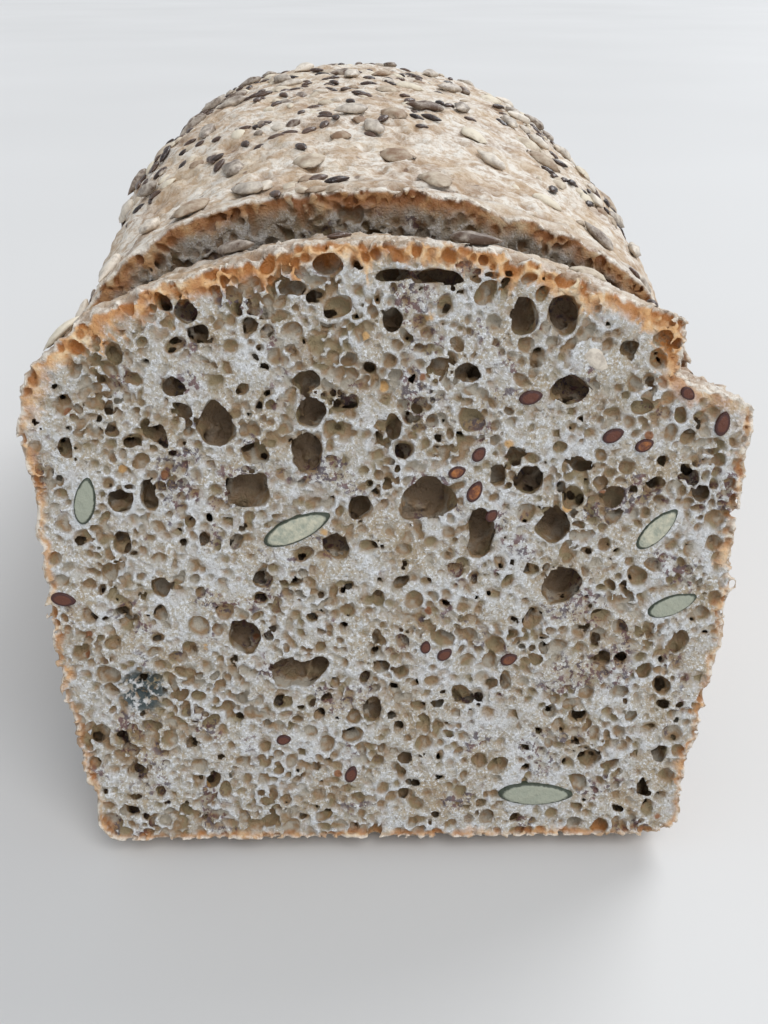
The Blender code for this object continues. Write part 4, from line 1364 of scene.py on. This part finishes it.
def seed_material(name, tones, mottle_size, roughness):
    """A seed's skin: a tone for each seed, mottled."""
    nodes = Nodes(name)
    mottle = nodes.grain(mottle_size, *SEED_MOTTLE)
    tone = nodes.times(nodes.attribute("draw"), SEED_DRAW_SHARE)
    stops = tuple(zip(SEED_PLACES, tones))
    colour = nodes.ramp(nodes.plus(tone, mottle, SEED_MOTTLE_SHARE), stops)
    rough = nodes.step(mottle, *SEED_ROUGHNESS_LIMITS, *roughness)
    return nodes.finish(colour, rough, (mottle, SEED_BUMP))


def cut_seed_material(name, tones, skin, skin_limits, pale_draws):
    """A seed's cut face, mottled inside a dark skin; only some draws are pale."""
    nodes = Nodes(name)
    mottle = nodes.grain(*CUT_SEED_MOTTLE)
    inside = nodes.ramp(mottle, tuple(zip(CUT_SEED_PLACES, tones)))
    shaded = nodes.step(nodes.attribute("draw"), *pale_draws, 1.0, 0.0)
    inside = nodes.mix(shaded, inside, tones[0])
    edge = nodes.plus(nodes.attribute("rim"), mottle, CUT_SEED_EDGE_SHARE)
    colour = nodes.mix(nodes.step(edge, *skin_limits), inside, skin)
    rough = nodes.step(mottle, *CUT_SEED_ROUGHNESS)
    return nodes.finish(colour, rough, (mottle, CUT_SEED_BUMP))


def strewn_holes(number, seed, half_width, crest):
    """Holes spread over a cut face, in the places that the part gives them."""
    draw = random.Random(seed)
    holes = []
    while len(holes) < number:
        x = draw.uniform(-1, 1) * (half_width - HOLE_EDGE_MARGIN)
        z = draw.uniform(HOLE_EDGE_MARGIN, crest - HOLE_EDGE_MARGIN)
        width = draw.uniform(*STREWN_HOLE_WIDTHS)
        height = width * draw.uniform(*STREWN_HOLE_ASPECTS)
        arch = math.sqrt(1 - (abs(x) / half_width) ** DOME_POWER)
        rim = SLICE_SHOULDER + (crest - SLICE_SHOULDER) * arch
        near = [hole for hole in holes
                if math.hypot(x - hole[0], z - hole[1]) <= (width + hole[2]) * STREWN_HOLE_SPACING]
        if not near and z < rim - HOLE_EDGE_MARGIN:
            holes.append((x, z, width, height))
    return holes


def seed_guards(seeds):
    """Places on a face that bubbles keep clear of: x, z and radius."""
    guards = []
    for size, x, z, turn, share in seeds:
        reach = size[0] * share / 2
        for along in SEED_GUARDS:
            step_x = along * reach * math.cos(math.radians(turn))
            step_z = along * reach * math.sin(math.radians(turn))
            guards.append((x + step_x, z + step_z, size[1] * SEED_GUARD_SHARE))
    return guards


def coarse_crumb(holes, *layer):
    """The surface of a coarsely pored layer of crumb with large holes."""
    crumb = Crumb(*layer)
    for hole in holes:
        crumb.large_hole(*hole)
    crumb.strew(COARSE_BUBBLE_CLASSES)
    return crumb.surface()


def make_slice_crumb(material):
    """The slice: a finely pored front layer and a coarser back layer."""
    front = Crumb(slice_outline, SLICE_CREST, 0.0, FACE_LAYER, FACE_VOXEL, FRONT_RANDOM)
    for hole in SLICE_HOLES + MEDIUM_HOLES:
        front.large_hole(*hole)
    front.keep_clear(seed_guards(FACE_SEEDS + SMALL_FACE_SEEDS))
    front.strew(BUBBLE_CLASSES)
    front.hide_bubbles()
    holes = strewn_holes(BACK_HOLES, BACK_HOLE_RANDOM, SLICE_HALF_WIDTH, SLICE_CREST)
    inner = FACE_LAYER - LAYER_OVERLAP
    layer = (slice_outline, SLICE_CREST, SLICE_THICKNESS, inner, BACK_VOXEL, BACK_RANDOM)
    pieces = make_bands("slice_front", front.surface(), FRONT_BANDS, slice_matrix())
    pieces += make_bands("slice_back", coarse_crumb(holes, *layer), 1, slice_matrix())
    for piece in pieces:
        dress(piece, material, "crumb", "slice")


def make_cut_crumb(material):
    """The crumb at the loaf's cut face."""
    holes = strewn_holes(CUT_HOLES, CUT_HOLE_RANDOM, CUT_HALF_WIDTH, CUT_CREST)
    layer = (cut_outline, CUT_CREST, 0.0, CUT_LAYER, CUT_VOXEL, CUT_RANDOM)
    place = Matrix.Translation((0.0, CUT_Y, 0.0))
    for piece in make_bands("loaf_cut", coarse_crumb(holes, *layer), 1, place):
        dress(piece, material, "crumb", "loaf")


def crust_rings():
    """Rings of the loaf's crust from inside its cut layer, round the end and over the end wall."""
    start = CUT_Y + CUT_LAYER - LAYER_OVERLAP
    straight = END_Y - END_DEPTH - start
    rows = round(straight / CRUST_ROW)
    places = [start + straight * k / rows for k in range(rows)]
    for k in range(END_ROWS + 1):
        places.append(END_Y - END_DEPTH + END_DEPTH * math.sin(math.pi / 2 * k / END_ROWS))
    rings = []
    for y in places:
        tuck = CRUST_TUCK * (1 - smooth(y, start, start + LAYER_OVERLAP))
        rings.append(loaf_ring(y, CRUST_STEPS, tuck))
    rings += [cap_ring(1 - k / CAP_ROWS, CRUST_STEPS) for k in range(1, CAP_ROWS)]
    return rings


def make_crust(material):
    """The loaf's crust, closed at both ends, with the depth of its fine relief in mm."""
    rings = crust_rings()
    count = len(rings[0][0])
    spots = np.array([spot for ring, _ in rings for spot in ring])
    sunk = np.array([depth for _, depths in rings for depth in depths]) / MM
    row, column = np.meshgrid(np.arange(len(rings) - 1), np.arange(count), indexing="ij")
    low, after = row * count, (column + 1) % count
    first, second = low + column, low + after
    third, fourth = second + count, first + count
    end = np.full(count, len(spots))
    closing = (fourth[-1], third[-1], end)
    opening = (second[0], first[0], end + 1)
    corners = ((first, second, third), (first, third, fourth), closing, opening)
    faces = np.vstack([np.stack(three, axis=-1).reshape(-1, 3) for three in corners])
    inner = spots[:count].mean(axis=0) + (0.0, CRUST_HOLLOW, 0.0)
    spots = np.vstack([spots, spots[-count:].mean(axis=0), inner])
    sunk = np.append(sunk, (sunk[-count:].mean(), sunk[:count].mean()))
    normals = vertex_normals(spots, faces)
    dress(make_piece("loaf_crust", spots, faces, {"sunk": sunk}, normals), material, "crust", "loaf")


def of_size(placed, size):
    """The placed seeds of one size."""
    return [seed for seed in placed if seed[0] is size]


def make_all_seeds():
    """Every kind of seed as one joined piece."""
    dome, spots = dome_seeds()
    dome += small_dome_bits(spots)
    face = face_seed_places(FACE_SEEDS + SMALL_FACE_SEEDS)
    placed = dome + slice_crust_seeds() + of_size(face, SUNFLOWER)
    make_seeds(kernel_form, placed, *KERNELS)
    make_seeds(flax_form, placed, *FLAX_SEEDS)
    make_seeds(flake_form, placed, *FLAKES)
    for kind in CUT_SEEDS:
        make_cut_seeds(face, *kind)


def make_floor():
    """A plain pale floor."""
    bpy.ops.mesh.primitive_plane_add(size=FLOOR_SIZE)
    floor = bpy.context.object
    floor.name = "floor"
    nodes = Nodes("floor")
    tone = nodes.ramp(nodes.grain(*FLOOR_TONES), FLOOR_RAMP)
    floor.data.materials.append(nodes.finish(tone, FLOOR_ROUGHNESS))


def make_light(name, source, width, strength, colour):
    """A soft, distant light from a direction."""
    lamp = bpy.data.lights.new(name, "SUN")
    lamp.angle = math.radians(width)
    lamp.energy = strength
    lamp.color = colour
    obj = bpy.data.objects.new(name, lamp)
    obj.location = source
    obj.rotation_euler = Vector(source).to_track_quat("Z", "Y").to_euler()
    bpy.context.scene.collection.objects.link(obj)


def make_surroundings():
    """Even light all round and two soft, distant lamps; colours are shown without a film curve."""
    world = bpy.data.worlds.new("studio")
    bpy.context.scene.world = world
    world.use_nodes = True
    background = world.node_tree.nodes["Background"]
    background.inputs["Color"].default_value = (*WORLD_COLOUR, 1.0)
    background.inputs["Strength"].default_value = WORLD_STRENGTH
    for light in LIGHTS:
        make_light(*light)
    bpy.context.scene.view_settings.view_transform = "Standard"


def make_camera():
    """The camera at the photo's viewing angle."""
    lens = bpy.data.cameras.new("camera")
    lens.sensor_width = SENSOR
    lens.lens = FOCAL_PIXELS / LONG_SIDE_PIXELS * SENSOR
    lens.clip_start = CLIP_START
    camera = bpy.data.objects.new("camera", lens)
    camera.location = CAMERA_PLACE
    camera.rotation_euler = (math.pi / 2 - CAMERA_PITCH, 0.0, -CAMERA_YAW)
    bpy.context.scene.collection.objects.link(camera)
    bpy.context.scene.camera = camera


make_slice_crumb(crumb_material("crumb", WHITE))
# The loaf's cut crumb is darkened by a tint that paints the leaning slice's shadow
make_cut_crumb(crumb_material("inner_crumb_painted_shadow", CUT_CRUMB_PAINTED_SHADOW))
make_crust(crust_material())
make_all_seeds()
make_floor()
make_surroundings()
make_camera()
